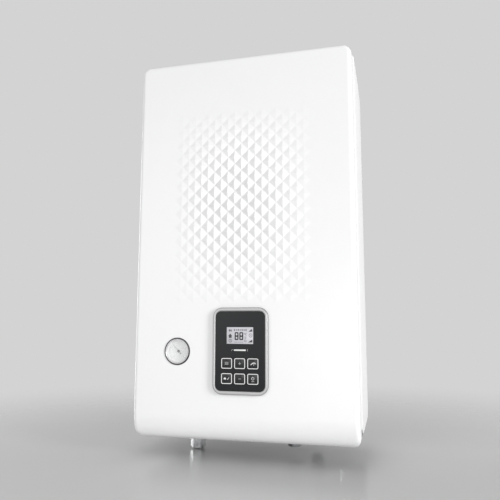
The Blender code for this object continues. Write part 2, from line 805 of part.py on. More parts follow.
def gauge():
    centre = Vector((gauge_x, from_front(0), above(GAUGE_HEIGHT)))
    forward = (0, -1, 0)
    front = GAUGE_PROUD
    back = front - GAUGE_RIM_DEPTH
    step = front - GAUGE_LENS_THICKNESS
    lens_radius = GAUGE_RIM_INNER + GAUGE_CASE_WALL / 2
    rim = [(GAUGE_RIM, front), (GAUGE_RIM, back), (lens_radius, back), (lens_radius, step - GAP),
           (GAUGE_RIM_INNER, step - GAP), (GAUGE_RIM_INNER, front)]
    finish(turned("gauge_bezel", rim, centre, forward, 2 * ROUND, ring=True), (0.5, 0.51, 0.52), 0.2, 1.0)
    lens_front = step - 2 * GAP
    lens_edge = lens_radius - GAP
    lens = [(0, lens_front), (lens_edge, lens_front), (lens_edge, lens_front - GAUGE_LENS_THICKNESS),
            (0, lens_front - GAUGE_LENS_THICKNESS)]
    finish(turned("gauge_lens", lens, centre, forward), (0.9, 0.92, 0.93), 0.05)
    mouth = back - GAP
    floor = -GAUGE_CASE_DEPTH
    inner = GAUGE_CASE - GAUGE_CASE_WALL
    case = [(0, floor + GAUGE_CASE_WALL), (inner, floor + GAUGE_CASE_WALL), (inner, mouth),
            (GAUGE_CASE, mouth), (GAUGE_CASE, floor), (GAUGE_STEM, floor),
            (GAUGE_STEM, floor - GAUGE_STEM_LENGTH), (0, floor - GAUGE_STEM_LENGTH)]
    finish(turned("gauge_case", case, centre, forward), (0.05, 0.05, 0.055), 0.5)
    dial_front = -GAUGE_DIAL_DEPTH
    dial_edge = inner - GAP
    dial_back = dial_front - GAUGE_DIAL_THICKNESS
    pin = NEEDLE_PIN + GAP
    dial = [(dial_edge, dial_front), (dial_edge, dial_back), (pin, dial_back), (pin, dial_front)]
    finish(turned("gauge_dial", dial, centre, forward, ring=True), (0.82, 0.83, 0.83), 0.5)
    needle_back = dial_front + 2 * GAP
    outline = [(NEEDLE_LENGTH, -NEEDLE_TIP / 2), (NEEDLE_LENGTH, NEEDLE_TIP / 2), (0, NEEDLE_WIDTH / 2),
               (-NEEDLE_TAIL, NEEDLE_WIDTH), (-NEEDLE_TAIL, -NEEDLE_WIDTH), (0, -NEEDLE_WIDTH / 2)]
    turn = Matrix.Rotation(NEEDLE_REST, 2)
    pointer = prism("gauge_needle", [tuple(turn @ Vector(point)) for point in outline],
                    -needle_back - NEEDLE_THICKNESS, -needle_back, "Y")
    pointer.location += centre
    hub = [(0, needle_back + NEEDLE_HUB_LENGTH), (NEEDLE_HUB, needle_back + NEEDLE_HUB_LENGTH),
           (NEEDLE_HUB, needle_back), (NEEDLE_PIN, needle_back), (NEEDLE_PIN, dial_back), (0, dial_back)]
    join(pointer, turned("needle_hub", hub, centre, forward, SMALL_ROUND))
    finish(pointer, (0.03, 0.03, 0.03), 0.4)
    start = (gauge_x, from_front(GAUGE_CASE_DEPTH + GAUGE_STEM_LENGTH + GAP), above(GAUGE_HEIGHT))
    end_y = from_front(PIPE_LINE - PIPE_RADIUS - GAP)
    middle_y = (start[1] + end_y) / 2
    low = above(GAUGE_HEIGHT - GAUGE_TUBE_DROP)
    route = [start, (gauge_x, middle_y, start[2]), (tank_x, middle_y, low), (tank_x, end_y, low)]
    tube = rod("gauge_tube", rounded_route(route, GAUGE_TUBE_BEND), GAUGE_TUBE)
    finish(tube, (0.75, 0.42, 0.25), 0.35, 1.0)


def casing():
    def outline(inset, y):
        radius = max(CASING_CORNER - inset, GAP)
        across = casing_half - max(CASING_CORNER, inset + GAP)
        high = CASING_TOP - max(CASING_CORNER, inset + GAP)
        right = [(casing_half - inset, CASING_BOTTOM - OVERRUN)] + arc((across, high), radius, 0, 90)
        left = [(-x, height) for x, height in reversed(right)]
        return [(x, y, above(height)) for x, height in right + left]

    rings = [outline(0.0, from_wall(0)), outline(0.0, from_front(casing_front)),
             outline(CASING_LIP, from_front(casing_front))]
    made = solidify(loft("casing", rings, closed=False), CASING_WALL)
    front = from_front(casing_front)
    low = above(CASING_BOTTOM)
    far = OVERRUN * 5
    edge = arc((front + CASING_FRONT_ROUND, low + CASING_FRONT_ROUND), CASING_FRONT_ROUND, 180, 270)
    edge += arc((-CASING_REAR_ROUND, low + CASING_REAR_ROUND), CASING_REAR_ROUND, 270, 360)
    edge += [(far, edge[-1][1]), (far, low - far), (front - far, low - far), (front - far, edge[0][1])]
    cut(made, prism("casing_edge", edge, -casing_half - far, casing_half + far, "X"))
    return finish(made, (0.88, 0.88, 0.88), 0.35)


def tray_fittings():
    """Where pieces pass through the tray's floor: X, Y and radius."""
    line = from_front(PIPE_LINE)
    return ((tank_x, line, PIPE_RADIUS), (fill_x, line, FILL_RADIUS), (inlet_x, line, INLET_RADIUS),
            (pump_x, line, RETURN_PIPE_RADIUS), (relief_valve_x, line, RELIEF_TUBE),
            (gland_x, from_wall(GLAND_WALL_DISTANCE), GLAND_THREAD))


def bottom_tray():
    front = from_front(RIM_DEPTH + TRAY_SETBACK)
    rear = from_wall(plate_front + GAP)
    outline = rounded_rectangle(2 * tray_half, rear - front, TRAY_CORNER, (0, (front + rear) / 2), 2)
    rings = [[(x, y, above(height)) for x, y in outline] for height in (TRAY_TOP, TRAY_FLOOR)]
    made = solidify(loft("bottom_tray", rings, cap=[range(len(outline))]), TRAY_WALL)
    for side in (-1, 1):
        for share in TRAY_EAR_SHARES:
            middle = front + (rear - front) * share
            inner = side * (tray_half - EMBED)
            outer = side * (casing_inner - GAP)
            join(made, box("tray_ear", (min(inner, outer), middle - TRAY_EAR, above(TRAY_TOP - TRAY_EAR)),
                           (max(inner, outer), middle + TRAY_EAR, above(TRAY_TOP))))
        slot_end = from_front(casing_front + SLOT_REACH)
        slot_low = above(TRAY_FLOOR - OVERRUN)
        slot_high = above(TRAY_FLOOR + SCREW_REACH + OVERRUN)
        cut(made, box("screw_slot", (side * tab_x - SLOT_WIDTH / 2, front - OVERRUN, slot_low),
                      (side * tab_x + SLOT_WIDTH / 2, slot_end, slot_high)))
    for x, y, radius in tray_fittings():
        cut(made, cylinder("tray_hole", radius + GAP, (x, y, above(TRAY_FLOOR - OVERRUN)),
                           (x, y, above(TRAY_FLOOR + TRAY_WALL + OVERRUN))))
    return finish(made, (0.42, 0.43, 0.44), 0.55)


def back_plate():
    half = casing_inner - GAP
    rear = from_wall(PLATE_STANDOFF)
    made = box("back_plate", (-half, from_wall(plate_front), above(PLATE_BOTTOM)),
               (half, rear, above(CASING_TOP - CASING_WALL - CASING_CORNER)))
    for side in (-1, 1):
        join(made, box("plate_foot", (side * foot_x - FOOT_WIDTH / 2, rear - EMBED, above(FOOT_BOTTOM)),
                       (side * foot_x + FOOT_WIDTH / 2, from_wall(0), above(FOOT_TOP))))
    lip_top = BRACKET_HALF + BRACKET_LIP
    inner = from_wall(BRACKET_REACH - BRACKET_STEEL - GAP)
    outer = inner + BRACKET_STEEL
    top = lip_top + GAP + BRACKET_STEEL
    hook = [(rear - EMBED, top), (rear - EMBED, lip_top + GAP), (inner, lip_top + GAP),
            (inner, lip_top - HOOK_DROP), (outer, lip_top - HOOK_DROP), (outer, top)]
    join(made, prism("plate_hook", hook, -HOOK_WIDTH / 2, HOOK_WIDTH / 2, "X"))
    return finish(made, (0.55, 0.56, 0.57), 0.4, 1.0)


def wall_bracket():
    """A steel strip on the wall with an upturned lip that the back plate's hook rests on."""
    reach = from_wall(BRACKET_REACH)
    lip = from_wall(BRACKET_REACH - BRACKET_STEEL)
    profile = [(0, -BRACKET_HALF), (0, BRACKET_HALF), (lip, BRACKET_HALF),
               (lip, BRACKET_HALF + BRACKET_LIP), (reach, BRACKET_HALF + BRACKET_LIP),
               (reach, BRACKET_HALF - BRACKET_STEEL),
               (from_wall(BRACKET_STEEL), BRACKET_HALF - BRACKET_STEEL),
               (from_wall(BRACKET_STEEL), -BRACKET_HALF)]
    made = prism("wall_bracket", profile, -BRACKET_WIDTH / 2, BRACKET_WIDTH / 2, "X")
    for side in (-1, 1):
        cut(made, cylinder("bracket_hole", BRACKET_HOLE, (side * BRACKET_HOLE_X, OVERRUN, 0),
                           (side * BRACKET_HOLE_X, from_wall(BRACKET_STEEL + OVERRUN), 0), SMALL_ROUND))
    return finish(made, (0.6, 0.61, 0.62), 0.35, 1.0)


def cross_rail():
    half = casing_inner - GAP
    front = from_front(RAIL_DEPTH)
    rear = from_front(RAIL_DEPTH + RAIL_STEEL)
    low = above(GAUGE_HEIGHT - RAIL_HALF)
    high = above(GAUGE_HEIGHT + RAIL_HALF)
    made = box("cross_rail", (-half, front, low), (half, rear, high))
    for side in (-1, 1):
        inner = side * (half - RAIL_STEEL)
        join(made, box("rail_flange", (min(inner, side * half), rear - EMBED, low),
                       (max(inner, side * half), rear + RAIL_FLANGE, high)))
    cut(made, cylinder("rail_hole", GAUGE_CASE + GAP, (gauge_x, front - OVERRUN, above(GAUGE_HEIGHT)),
                       (gauge_x, rear + OVERRUN, above(GAUGE_HEIGHT))))
    return finish(made, (0.55, 0.56, 0.57), 0.4, 1.0)


def tank():
    y = from_front(PIPE_LINE)
    inner = TANK_RADIUS - TANK_WALL
    base = TANK_RADIUS - TANK_SHOULDER
    neck_inner = TANK_NECK - TANK_WALL
    underside = TANK_TOP - TANK_FLANGE_THICKNESS
    profile = [(0, TANK_BOTTOM + TANK_WALL), (base, TANK_BOTTOM + 2 * TANK_WALL),
               (inner, TANK_BOTTOM + TANK_SHOULDER), (inner, underside - TANK_SHOULDER),
               (neck_inner, underside - TANK_WALL), (neck_inner, TANK_TOP), (TANK_FLANGE, TANK_TOP),
               (TANK_FLANGE, underside), (TANK_NECK, underside), (TANK_RADIUS, underside - TANK_SHOULDER),
               (TANK_RADIUS, TANK_BOTTOM + TANK_SHOULDER), (base, TANK_BOTTOM + TANK_WALL),
               (0, TANK_BOTTOM)]
    made = turned("tank", profile, (tank_x, y, above(0)))
    supply = above(SUPPLY_PORT_HEIGHT)
    flow = above(flow_height)
    cut(made, cylinder("supply_port", TANK_PORT, (tank_x, y, supply),
                       (tank_x, y - TANK_RADIUS - OVERRUN, supply), SMALL_ROUND))
    cut(made, cylinder("flow_port", TANK_PORT, (tank_x, y, flow),
                       (tank_x + TANK_RADIUS + OVERRUN, y, flow), SMALL_ROUND))
    return finish(made, (0.62, 0.63, 0.64), 0.3, 1.0)


def element_legs(number):
    """The two places where a heating element's legs pass the flange."""
    angle = math.radians(90 + 120 * number)
    out = Vector((math.cos(angle), math.sin(angle)))
    along = Vector((-out.y, out.x))
    centre = Vector((tank_x, from_front(PIPE_LINE)))
    return [centre + out * ELEMENT_RING + along * side * ELEMENT_HALF_WIDTH for side in (-1, 1)]


def heating():
    seat = TANK_TOP + GAP
    top = seat + TANK_FLANGE_THICKNESS
    y = from_front(PIPE_LINE)
    flange = cylinder("element_flange", TANK_FLANGE, (tank_x, y, above(seat)), (tank_x, y, above(top)))
    for number in range(3):
        legs = element_legs(number)
        middle = (legs[0] + legs[1]) / 2
        along = (legs[1] - legs[0]).normalized()
        low = above(TANK_BOTTOM + ELEMENT_CLEARANCE + ELEMENT_RADIUS + ELEMENT_HALF_WIDTH)
        route = [(legs[0].x, legs[0].y, above(top + ELEMENT_RISE))]
        for i in range(ELEMENT_BEND_STEPS + 1):
            angle = math.pi * i / ELEMENT_BEND_STEPS
            spot = middle - along * ELEMENT_HALF_WIDTH * math.cos(angle)
            route.append((spot.x, spot.y, low - ELEMENT_HALF_WIDTH * math.sin(angle)))
        route.append((legs[1].x, legs[1].y, above(top + ELEMENT_RISE)))
        finish(rod(f"heating_element_{number + 1}", route, ELEMENT_RADIUS), (0.42, 0.42, 0.43), 0.35, 1.0)
        for leg in legs:
            cut(flange, cylinder("leg_hole", ELEMENT_RADIUS + GAP, (leg.x, leg.y, above(seat) - OVERRUN),
                                 (leg.x, leg.y, above(top) + OVERRUN), SMALL_ROUND))
    finish(flange, (0.6, 0.55, 0.42), 0.35, 1.0)
    body = [(0, VENT_HEIGHT + VENT_NECK_HEIGHT), (VENT_NECK, VENT_HEIGHT + VENT_NECK_HEIGHT),
            (VENT_NECK, VENT_HEIGHT), (VENT_RADIUS, VENT_HEIGHT), (VENT_RADIUS, 0), (0, 0)]
    vent_base = (tank_x, y, above(top + GAP))
    finish(turned("air_vent", body, vent_base, segments=SMALL_ROUND), (0.72, 0.55, 0.28), 0.3, 1.0)
    roof = VENT_HEIGHT + VENT_NECK_HEIGHT + GAP
    rim = VENT_NECK + GAP
    cap = [(0, VENT_HEIGHT + VENT_CAP_HEIGHT + GAP), (VENT_CAP, VENT_HEIGHT + VENT_CAP_HEIGHT + GAP),
           (VENT_CAP, VENT_HEIGHT + GAP), (rim, VENT_HEIGHT + GAP), (rim, roof), (0, roof)]
    finish(turned("air_vent_cap", cap, vent_base, segments=SMALL_ROUND), (0.05, 0.05, 0.05), 0.5)
    cutout = cylinder("thermal_cutout", CUTOUT_RADIUS, (tank_side, y, above(CUTOUT_HEIGHT)),
                      (tank_side + CUTOUT_LENGTH, y, above(CUTOUT_HEIGHT)), SMALL_ROUND)
    finish(cutout, (0.1, 0.1, 0.11), 0.5)


def tank_strap(name, height):
    """A steel band round the tank's front with feet on the back plate."""
    y = from_front(PIPE_LINE)
    foot = from_wall(plate_front + GAP)
    inner = TANK_RADIUS + GAP
    outer = inner + STRAP_STEEL
    outline = arc((tank_x, y), outer, 180, 360, ROUND // 2)
    outline += [(tank_x + outer, foot - STRAP_STEEL), (tank_x + outer + STRAP_FOOT, foot - STRAP_STEEL),
                (tank_x + outer + STRAP_FOOT, foot), (tank_x + inner, foot)]
    outline += arc((tank_x, y), inner, 360, 180, ROUND // 2)
    outline += [(tank_x - inner, foot), (tank_x - outer - STRAP_FOOT, foot),
                (tank_x - outer - STRAP_FOOT, foot - STRAP_STEEL), (tank_x - outer, foot - STRAP_STEEL)]
    made = prism(name, outline, above(height) - STRAP_WIDTH / 2, above(height) + STRAP_WIDTH / 2, "Z")
    return finish(made, (0.55, 0.56, 0.57), 0.4, 1.0)


def expansion_vessel():
    """Two dished steel halves with a rubber membrane between them."""
    def dish(wall):
        radius = vessel_radius - wall
        deep = VESSEL_HALF - wall
        return [(radius, VESSEL_RIM), (radius - VESSEL_TURN, VESSEL_SHOULDER - wall),
                (radius - VESSEL_FLAT, deep)]

    distance = plate_front + GAP + VESSEL_BOSS_LENGTH + VESSEL_HALF
    middle = (vessel_x, from_wall(distance), above(VESSEL_HEIGHT))
    forward = (0, -1, 0)
    outer = dish(0.0)
    inner = dish(VESSEL_WALL)
    rim = vessel_radius - VESSEL_WALL
    deep = VESSEL_HALF - VESSEL_WALL
    boss = VESSEL_HALF + VESSEL_BOSS_LENGTH
    rear = [(0, -deep)] + [(r, -h) for r, h in reversed(inner)] + [(rim, -GAP), (vessel_radius, -GAP)]
    rear += [(r, -h) for r, h in outer] + [(VESSEL_BOSS, -VESSEL_HALF), (VESSEL_BOSS, -boss), (0, -boss)]
    front = [(0, VESSEL_HALF)] + list(reversed(outer)) + [(vessel_radius, 0), (rim, 0)]
    front += inner + [(0, deep)]
    finish(turned("vessel_rear_half", rear, middle, forward), (0.55, 0.06, 0.05), 0.4)
    finish(turned("vessel_front_half", front, middle, forward), (0.55, 0.06, 0.05), 0.4)
    edge = rim - GAP
    flat = edge * MEMBRANE_FLAT_SHARE
    skin = [(0, -MEMBRANE_SAG), (flat, -MEMBRANE_SAG), (edge, -2 * GAP),
            (edge, -2 * GAP - MEMBRANE_THICKNESS), (flat, -MEMBRANE_SAG - MEMBRANE_THICKNESS),
            (0, -MEMBRANE_SAG - MEMBRANE_THICKNESS)]
    finish(turned("vessel_membrane", skin, middle, forward), (0.03, 0.03, 0.03), 0.8)


def pump():
    centre = Vector((pump_x, from_front(PIPE_LINE), above(PUMP_HEIGHT)))
    ahead = Vector((0, -PUMP_HALF_DEPTH, 0))
    port = Vector((0, 0, PUMP_PORT_HALF))
    housing = cylinder("pump_housing", PUMP_RADIUS, centre - ahead, centre + ahead)
    join(housing, cylinder("pump_ports", PUMP_PORT, centre - port, centre + port))
    past = Vector((0, 0, PUMP_PORT_HALF + OVERRUN))
    cut(housing, cylinder("pump_bore", PUMP_BORE, centre - past, centre + past))
    floor = centre - ahead - Vector((0, PUMP_FLOOR, 0))
    mouth = centre + ahead - Vector((0, OVERRUN, 0))
    cut(housing, cylinder("pump_chamber", PUMP_CHAMBER, floor, mouth))
    finish(housing, (0.2, 0.21, 0.22), 0.6, 0.6)
    base = centre + ahead - Vector((0, GAP, 0))
    forward = (0, -1, 0)
    end = MOTOR_LENGTH - MOTOR_END
    can = [(0, MOTOR_LENGTH), (MOTOR_RADIUS, MOTOR_LENGTH), (MOTOR_RADIUS, 0), (MOTOR_BORE, 0),
           (MOTOR_BORE, end), (MOTOR_BEARING, end), (MOTOR_BEARING, end + MOTOR_BEARING_DEPTH),
           (0, end + MOTOR_BEARING_DEPTH)]
    motor = turned("pump_motor", can, base, forward)
    low = Vector((pump_x - MOTOR_BOX_WIDTH / 2, base.y - (MOTOR_LENGTH + MOTOR_BOX_DEPTH) / 2,
                  centre.z + MOTOR_RADIUS - OVERRUN))
    size = Vector((MOTOR_BOX_WIDTH, MOTOR_BOX_DEPTH, MOTOR_BOX_HEIGHT))
    join(motor, box("motor_box", low, low + size))
    finish(motor, (0.1, 0.1, 0.11), 0.5)
    impeller_back = -2 * PUMP_HALF_DEPTH + PUMP_FLOOR + IMPELLER_CLEAR - GAP
    impeller_front = impeller_back + IMPELLER_THICKNESS
    shaft_end = end + MOTOR_BEARING_DEPTH - 2 * GAP
    core_end = end - 2 * GAP
    rotor = [(0, shaft_end), (ROTOR_SHAFT, shaft_end), (ROTOR_SHAFT, core_end), (ROTOR_CORE, core_end),
             (ROTOR_CORE, ROTOR_CORE_START), (ROTOR_NECK, ROTOR_CORE_START),
             (ROTOR_NECK, impeller_front), (IMPELLER_RADIUS, impeller_front),
             (IMPELLER_RADIUS, impeller_back), (0, impeller_back)]
    finish(turned("pump_rotor", rotor, base, forward), (0.6, 0.6, 0.6), 0.35, 1.0)


def pipes():
    y = from_front(PIPE_LINE)
    ahead = y - TANK_RADIUS - GAP - PIPE_BEND
    turn_height = above(TANK_BOTTOM - PIPE_BEND - PIPE_RADIUS)
    port = above(SUPPLY_PORT_HEIGHT)
    supply = [(tank_x, y - TANK_RADIUS - GAP, port), (tank_x, ahead, port), (tank_x, ahead, turn_height),
              (tank_x, y, turn_height), (tank_x, y, above(SUPPLY_VALVE_TOP + GAP))]
    copper = (0.78, 0.42, 0.26)
    made = pipe("supply_pipe", rounded_route(supply, PIPE_BEND - OVERRUN), PIPE_RADIUS, PIPE_WALL)
    finish(made, copper, 0.3, 1.0)
    flow_z = above(flow_height)
    flow = [(pump_x, y, above(PUMP_HEIGHT + PUMP_PORT_HALF + GAP)), (pump_x, y, flow_z),
            (tank_side, y, flow_z)]
    finish(pipe("flow_pipe", rounded_route(flow, PIPE_BEND), PIPE_RADIUS, PIPE_WALL), copper, 0.3, 1.0)
    block = box("flow_switch", (switch_x - SWITCH_HALF, y - SWITCH_HALF, flow_z - SWITCH_HALF),
                (switch_x + SWITCH_HALF, y + SWITCH_HALF, flow_z + SWITCH_HALF))
    cut(block, cylinder("switch_bore", PIPE_RADIUS + GAP, (switch_x - SWITCH_HALF - OVERRUN, y, flow_z),
                        (switch_x + SWITCH_HALF + OVERRUN, y, flow_z)))
    finish(block, (0.08, 0.08, 0.09), 0.5)
    straight = [(pump_x, y, above(PUMP_HEIGHT - PUMP_PORT_HALF - GAP)), (pump_x, y, above(RETURN_END))]
    finish(pipe("return_pipe", straight, RETURN_PIPE_RADIUS, PIPE_WALL, 4), (0.72, 0.55, 0.28), 0.3, 1.0)
    inlet = [(inlet_x, y, above(INLET_END)), (inlet_x, y, above(INLET_TURN_HEIGHT)),
             (fill_x + FILL_RADIUS + GAP, y, above(INLET_TURN_HEIGHT))]
    made = pipe("inlet_pipe", rounded_route(inlet, PIPE_BEND), INLET_RADIUS, PIPE_WALL)
    finish(made, (0.72, 0.55, 0.28), 0.3, 1.0)


def supply_valve():
    """A quarter-turn valve: round body, hexagon end and a boss for the lever's stem."""
    y = from_front(PIPE_LINE)
    top = above(SUPPLY_VALVE_TOP)
    end = top - SUPPLY_VALVE_LENGTH
    made = cylinder("supply_valve", SUPPLY_VALVE_BODY, (tank_x, y, top), (tank_x, y, end + EMBED))
    join(made, cylinder("valve_hexagon", SUPPLY_VALVE_HEX, (tank_x, y, end + SUPPLY_VALVE_HEX_LENGTH),
                        (tank_x, y, end), 6))
    stem_z = above(SUPPLY_STEM_HEIGHT)
    boss_end = y + SUPPLY_BOSS_REACH
    join(made, cylinder("valve_boss", SUPPLY_BOSS, (tank_x, y, stem_z), (tank_x, boss_end, stem_z),
                        SMALL_ROUND))
    cut(made, cylinder("valve_bore", SUPPLY_VALVE_BORE, (tank_x, y, top + OVERRUN),
                       (tank_x, y, end - OVERRUN)))
    stem_start = boss_end - LEVER_STEM_LENGTH
    cut(made, cylinder("stem_hole", LEVER_STEM + GAP, (tank_x, stem_start - GAP, stem_z),
                       (tank_x, boss_end + OVERRUN, stem_z), SMALL_ROUND))
    finish(made, (0.75, 0.76, 0.77), 0.12, 1.0)
    blade_start = boss_end + GAP
    blade_end = blade_start + LEVER_THICKNESS
    lever = cylinder("supply_lever", LEVER_HUB, (tank_x, blade_start, stem_z), (tank_x, blade_end, stem_z))
    join(lever, box("lever_blade", (tank_x - LEVER_LENGTH, blade_start, stem_z - LEVER_WIDTH / 2),
                    (tank_x, blade_end, stem_z + LEVER_WIDTH / 2)))
    join(lever, cylinder("lever_stem", LEVER_STEM, (tank_x, stem_start, stem_z),
                         (tank_x, blade_start + EMBED, stem_z), SMALL_ROUND))
    finish(lever, (0.7, 0.71, 0.72), 0.2, 1.0)


def return_nut():
    y = from_front(PIPE_LINE)
    end = above(RETURN_END)
    made = cylinder("return_nut", RETURN_NUT_HEX, (pump_x, y, end + GAP),
                    (pump_x, y, end + RETURN_NUT_LENGTH), 6)
    cut(made, cylinder("nut_bore", RETURN_PIPE_RADIUS + GAP, (pump_x, y, end - OVERRUN),
                       (pump_x, y, end + RETURN_NUT_LENGTH + OVERRUN)))
    return finish(made, (0.75, 0.76, 0.77), 0.12, 1.0)


def star(radius, hub, points):
    """Outline of a star knob with rounded lobes."""
    outline = []
    steps = 6 * points
    for i in range(steps):
        angle = 2 * math.pi * i / steps
        reach = (radius + hub) / 2 + (radius - hub) / 2 * math.cos(points * angle)
        outline.append((reach * math.cos(angle), reach * math.sin(angle)))
    return outline


def fill_valve():
    y = from_front(PIPE_LINE)
    level = above(INLET_TURN_HEIGHT)
    low = above(FILL_BOTTOM)
    body = cylinder("fill_valve", FILL_RADIUS, (fill_x, y, above(FILL_TOP)), (fill_x, y, low))
    join(body, cylinder("fill_spigot", FILL_SPIGOT, (fill_x, y, level),
                        (tank_x + PIPE_RADIUS + GAP, y, level)))
    cut(body, cylinder("fill_stem_hole", FILL_STEM + GAP, (fill_x, y, low + FILL_STEM_LENGTH + GAP),
                       (fill_x, y, low - OVERRUN), SMALL_ROUND))
    finish(body, (0.72, 0.55, 0.28), 0.3, 1.0)
    top = low - GAP
    outline = [(fill_x + dx, y + dy) for dx, dy in star(KNOB_RADIUS, KNOB_HUB, KNOB_POINTS)]
    knob = prism("fill_knob", outline, top - KNOB_THICKNESS, top, "Z")
    join(knob, cylinder("knob_stem", FILL_STEM, (fill_x, y, low + FILL_STEM_LENGTH),
                        (fill_x, y, top - EMBED), SMALL_ROUND))
    finish(knob, (0.06, 0.06, 0.07), 0.5)


def relief_valve():
    y = from_front(PIPE_LINE)
    middle = above(PUMP_HEIGHT)
    low = middle - RELIEF_BODY_HALF
    top = middle + RELIEF_BODY_HALF
    made = cylinder("relief_valve", RELIEF_BODY, (relief_valve_x, y, low), (relief_valve_x, y, top))
    join(made, cylinder("relief_tube", RELIEF_TUBE, (relief_valve_x, y, low + EMBED),
                        (relief_valve_x, y, above(RELIEF_END)), SMALL_ROUND))
    start = (pump_x + PUMP_RADIUS + GAP, y, middle)
    join(made, cylinder("relief_spigot", RELIEF_SPIGOT, (relief_valve_x, y, middle), start, SMALL_ROUND))
    cut(made, cylinder("relief_bore", RELIEF_TUBE - RELIEF_TUBE_WALL, (relief_valve_x, y, low),
                       (relief_valve_x, y, above(RELIEF_END) - OVERRUN), SMALL_ROUND))
    finish(made, (0.72, 0.55, 0.28), 0.3, 1.0)
    knob = cylinder("relief_knob", RELIEF_KNOB, (relief_valve_x, y, top + GAP),
                    (relief_valve_x, y, top + RELIEF_KNOB_HEIGHT), RELIEF_KNOB_SIDES)
    finish(bevel(knob, RELIEF_KNOB_EDGE), (0.6, 0.04, 0.04), 0.4)


def cable_gland():
    """A gland with a bore for the supply cable, its body under the tray."""
    seat = TRAY_FLOOR - GAP
    profile = [(GLAND_THREAD, GLAND_TOP), (GLAND_THREAD, seat), (GLAND_BODY, seat),
               (GLAND_BODY, GLAND_END), (GLAND_BORE, GLAND_END), (GLAND_BORE, GLAND_TOP)]
    made = turned("cable_gland", profile, (gland_x, from_wall(GLAND_WALL_DISTANCE), above(0)), ring=True)
    return finish(made, (0.05, 0.05, 0.05), 0.6)


def block(name, width, depth, height, front_centre, forward_from):
    """A box that stands forward of a plane."""
    x, z = front_centre
    return box(name, (x - width / 2, forward_from - depth, z - height / 2),
               (x + width / 2, forward_from, z + height / 2))


def electrics():
    low = above(flow_height + CARRIER_RISE)
    high = above(CARRIER_TOP)
    right = casing_inner - GAP
    rear = from_wall(CARRIER_DISTANCE)
    front = rear - CARRIER_STEEL
    carrier = box("board_carrier", (carrier_left, front, low), (right, rear, high))
    join(carrier, box("carrier_flange", (right - CARRIER_STEEL, rear - EMBED, low),
                      (right, rear + CARRIER_FLANGE, high)))
    left_edge = carrier_left + CONTROL_BOARD_MARGIN
    right_edge = right - CONTROL_BOARD_MARGIN
    low_edge = low + CONTROL_BOARD_MARGIN
    high_edge = high - CONTROL_BOARD_MARGIN
    board_rear = front - POST_LENGTH - GAP
    for x in (left_edge + POST_MARGIN, right_edge - POST_MARGIN):
        for z in (low_edge + POST_MARGIN, high_edge - POST_MARGIN):
            join(carrier, cylinder("board_post", POST_RADIUS, (x, front + EMBED, z),
                                   (x, front - POST_LENGTH, z), SMALL_ROUND))
    finish(carrier, (0.55, 0.56, 0.57), 0.4, 1.0)
    board_front = board_rear - BOARD_THICKNESS
    finish(box("control_board", (left_edge, board_front, low_edge), (right_edge, board_rear, high_edge)),
           (0.03, 0.16, 0.07), 0.5)

    def on_board(shares):
        across = left_edge + (right_edge - left_edge) * shares[0]
        up = low_edge + (high_edge - low_edge) * shares[1]
        return across, up

    transformer = block("transformer", TRANSFORMER_WIDTH, TRANSFORMER_DEPTH, TRANSFORMER_HEIGHT,
                        on_board(TRANSFORMER_SHARES), board_front - GAP)
    finish(transformer, (0.5, 0.4, 0.1), 0.5)
    contactor = block("contactor", CONTACTOR_WIDTH, CONTACTOR_DEPTH, CONTACTOR_HEIGHT,
                      on_board(CONTACTOR_SHARES), board_front - GAP)
    finish(contactor, (0.12, 0.13, 0.15), 0.5)
    terminal = block("terminal_block", TERMINAL_WIDTH, TERMINAL_DEPTH, TERMINAL_THICKNESS,
                     (terminal_x, above(TERMINAL_HEIGHT)), from_wall(plate_front + GAP))
    finish(terminal, (0.75, 0.74, 0.7), 0.5)


def main():
    clear_scene()
    front_cover()
    cover_screw("cover_screw_left", -1)
    cover_screw("cover_screw_right", 1)
    control_panel()
    keys()
    gauge()
    casing()
    bottom_tray()
    back_plate()
    wall_bracket()
    cross_rail()
    tank()
    heating()
    for name, share in zip(("tank_strap_lower", "tank_strap_upper"), STRAP_HEIGHT_SHARES):
        tank_strap(name, TANK_BOTTOM + (TANK_TOP - TANK_BOTTOM) * share)
    expansion_vessel()
    pump()
    pipes()
    supply_valve()
    return_nut()
    fill_valve()
    relief_valve()
    cable_gland()
    electrics()


main()
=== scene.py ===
"""Looks of a wall-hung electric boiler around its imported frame.

Lengths are millimetres here and become metres where a mesh is made. +Z is up and the front faces -Y,
as in the frame. Round and moulded nodes get finer pieces in the same places, and every node that
stays gets a finished surface.
"""
import json
import math

import bmesh
import bpy
from mathutils import Matrix, Vector


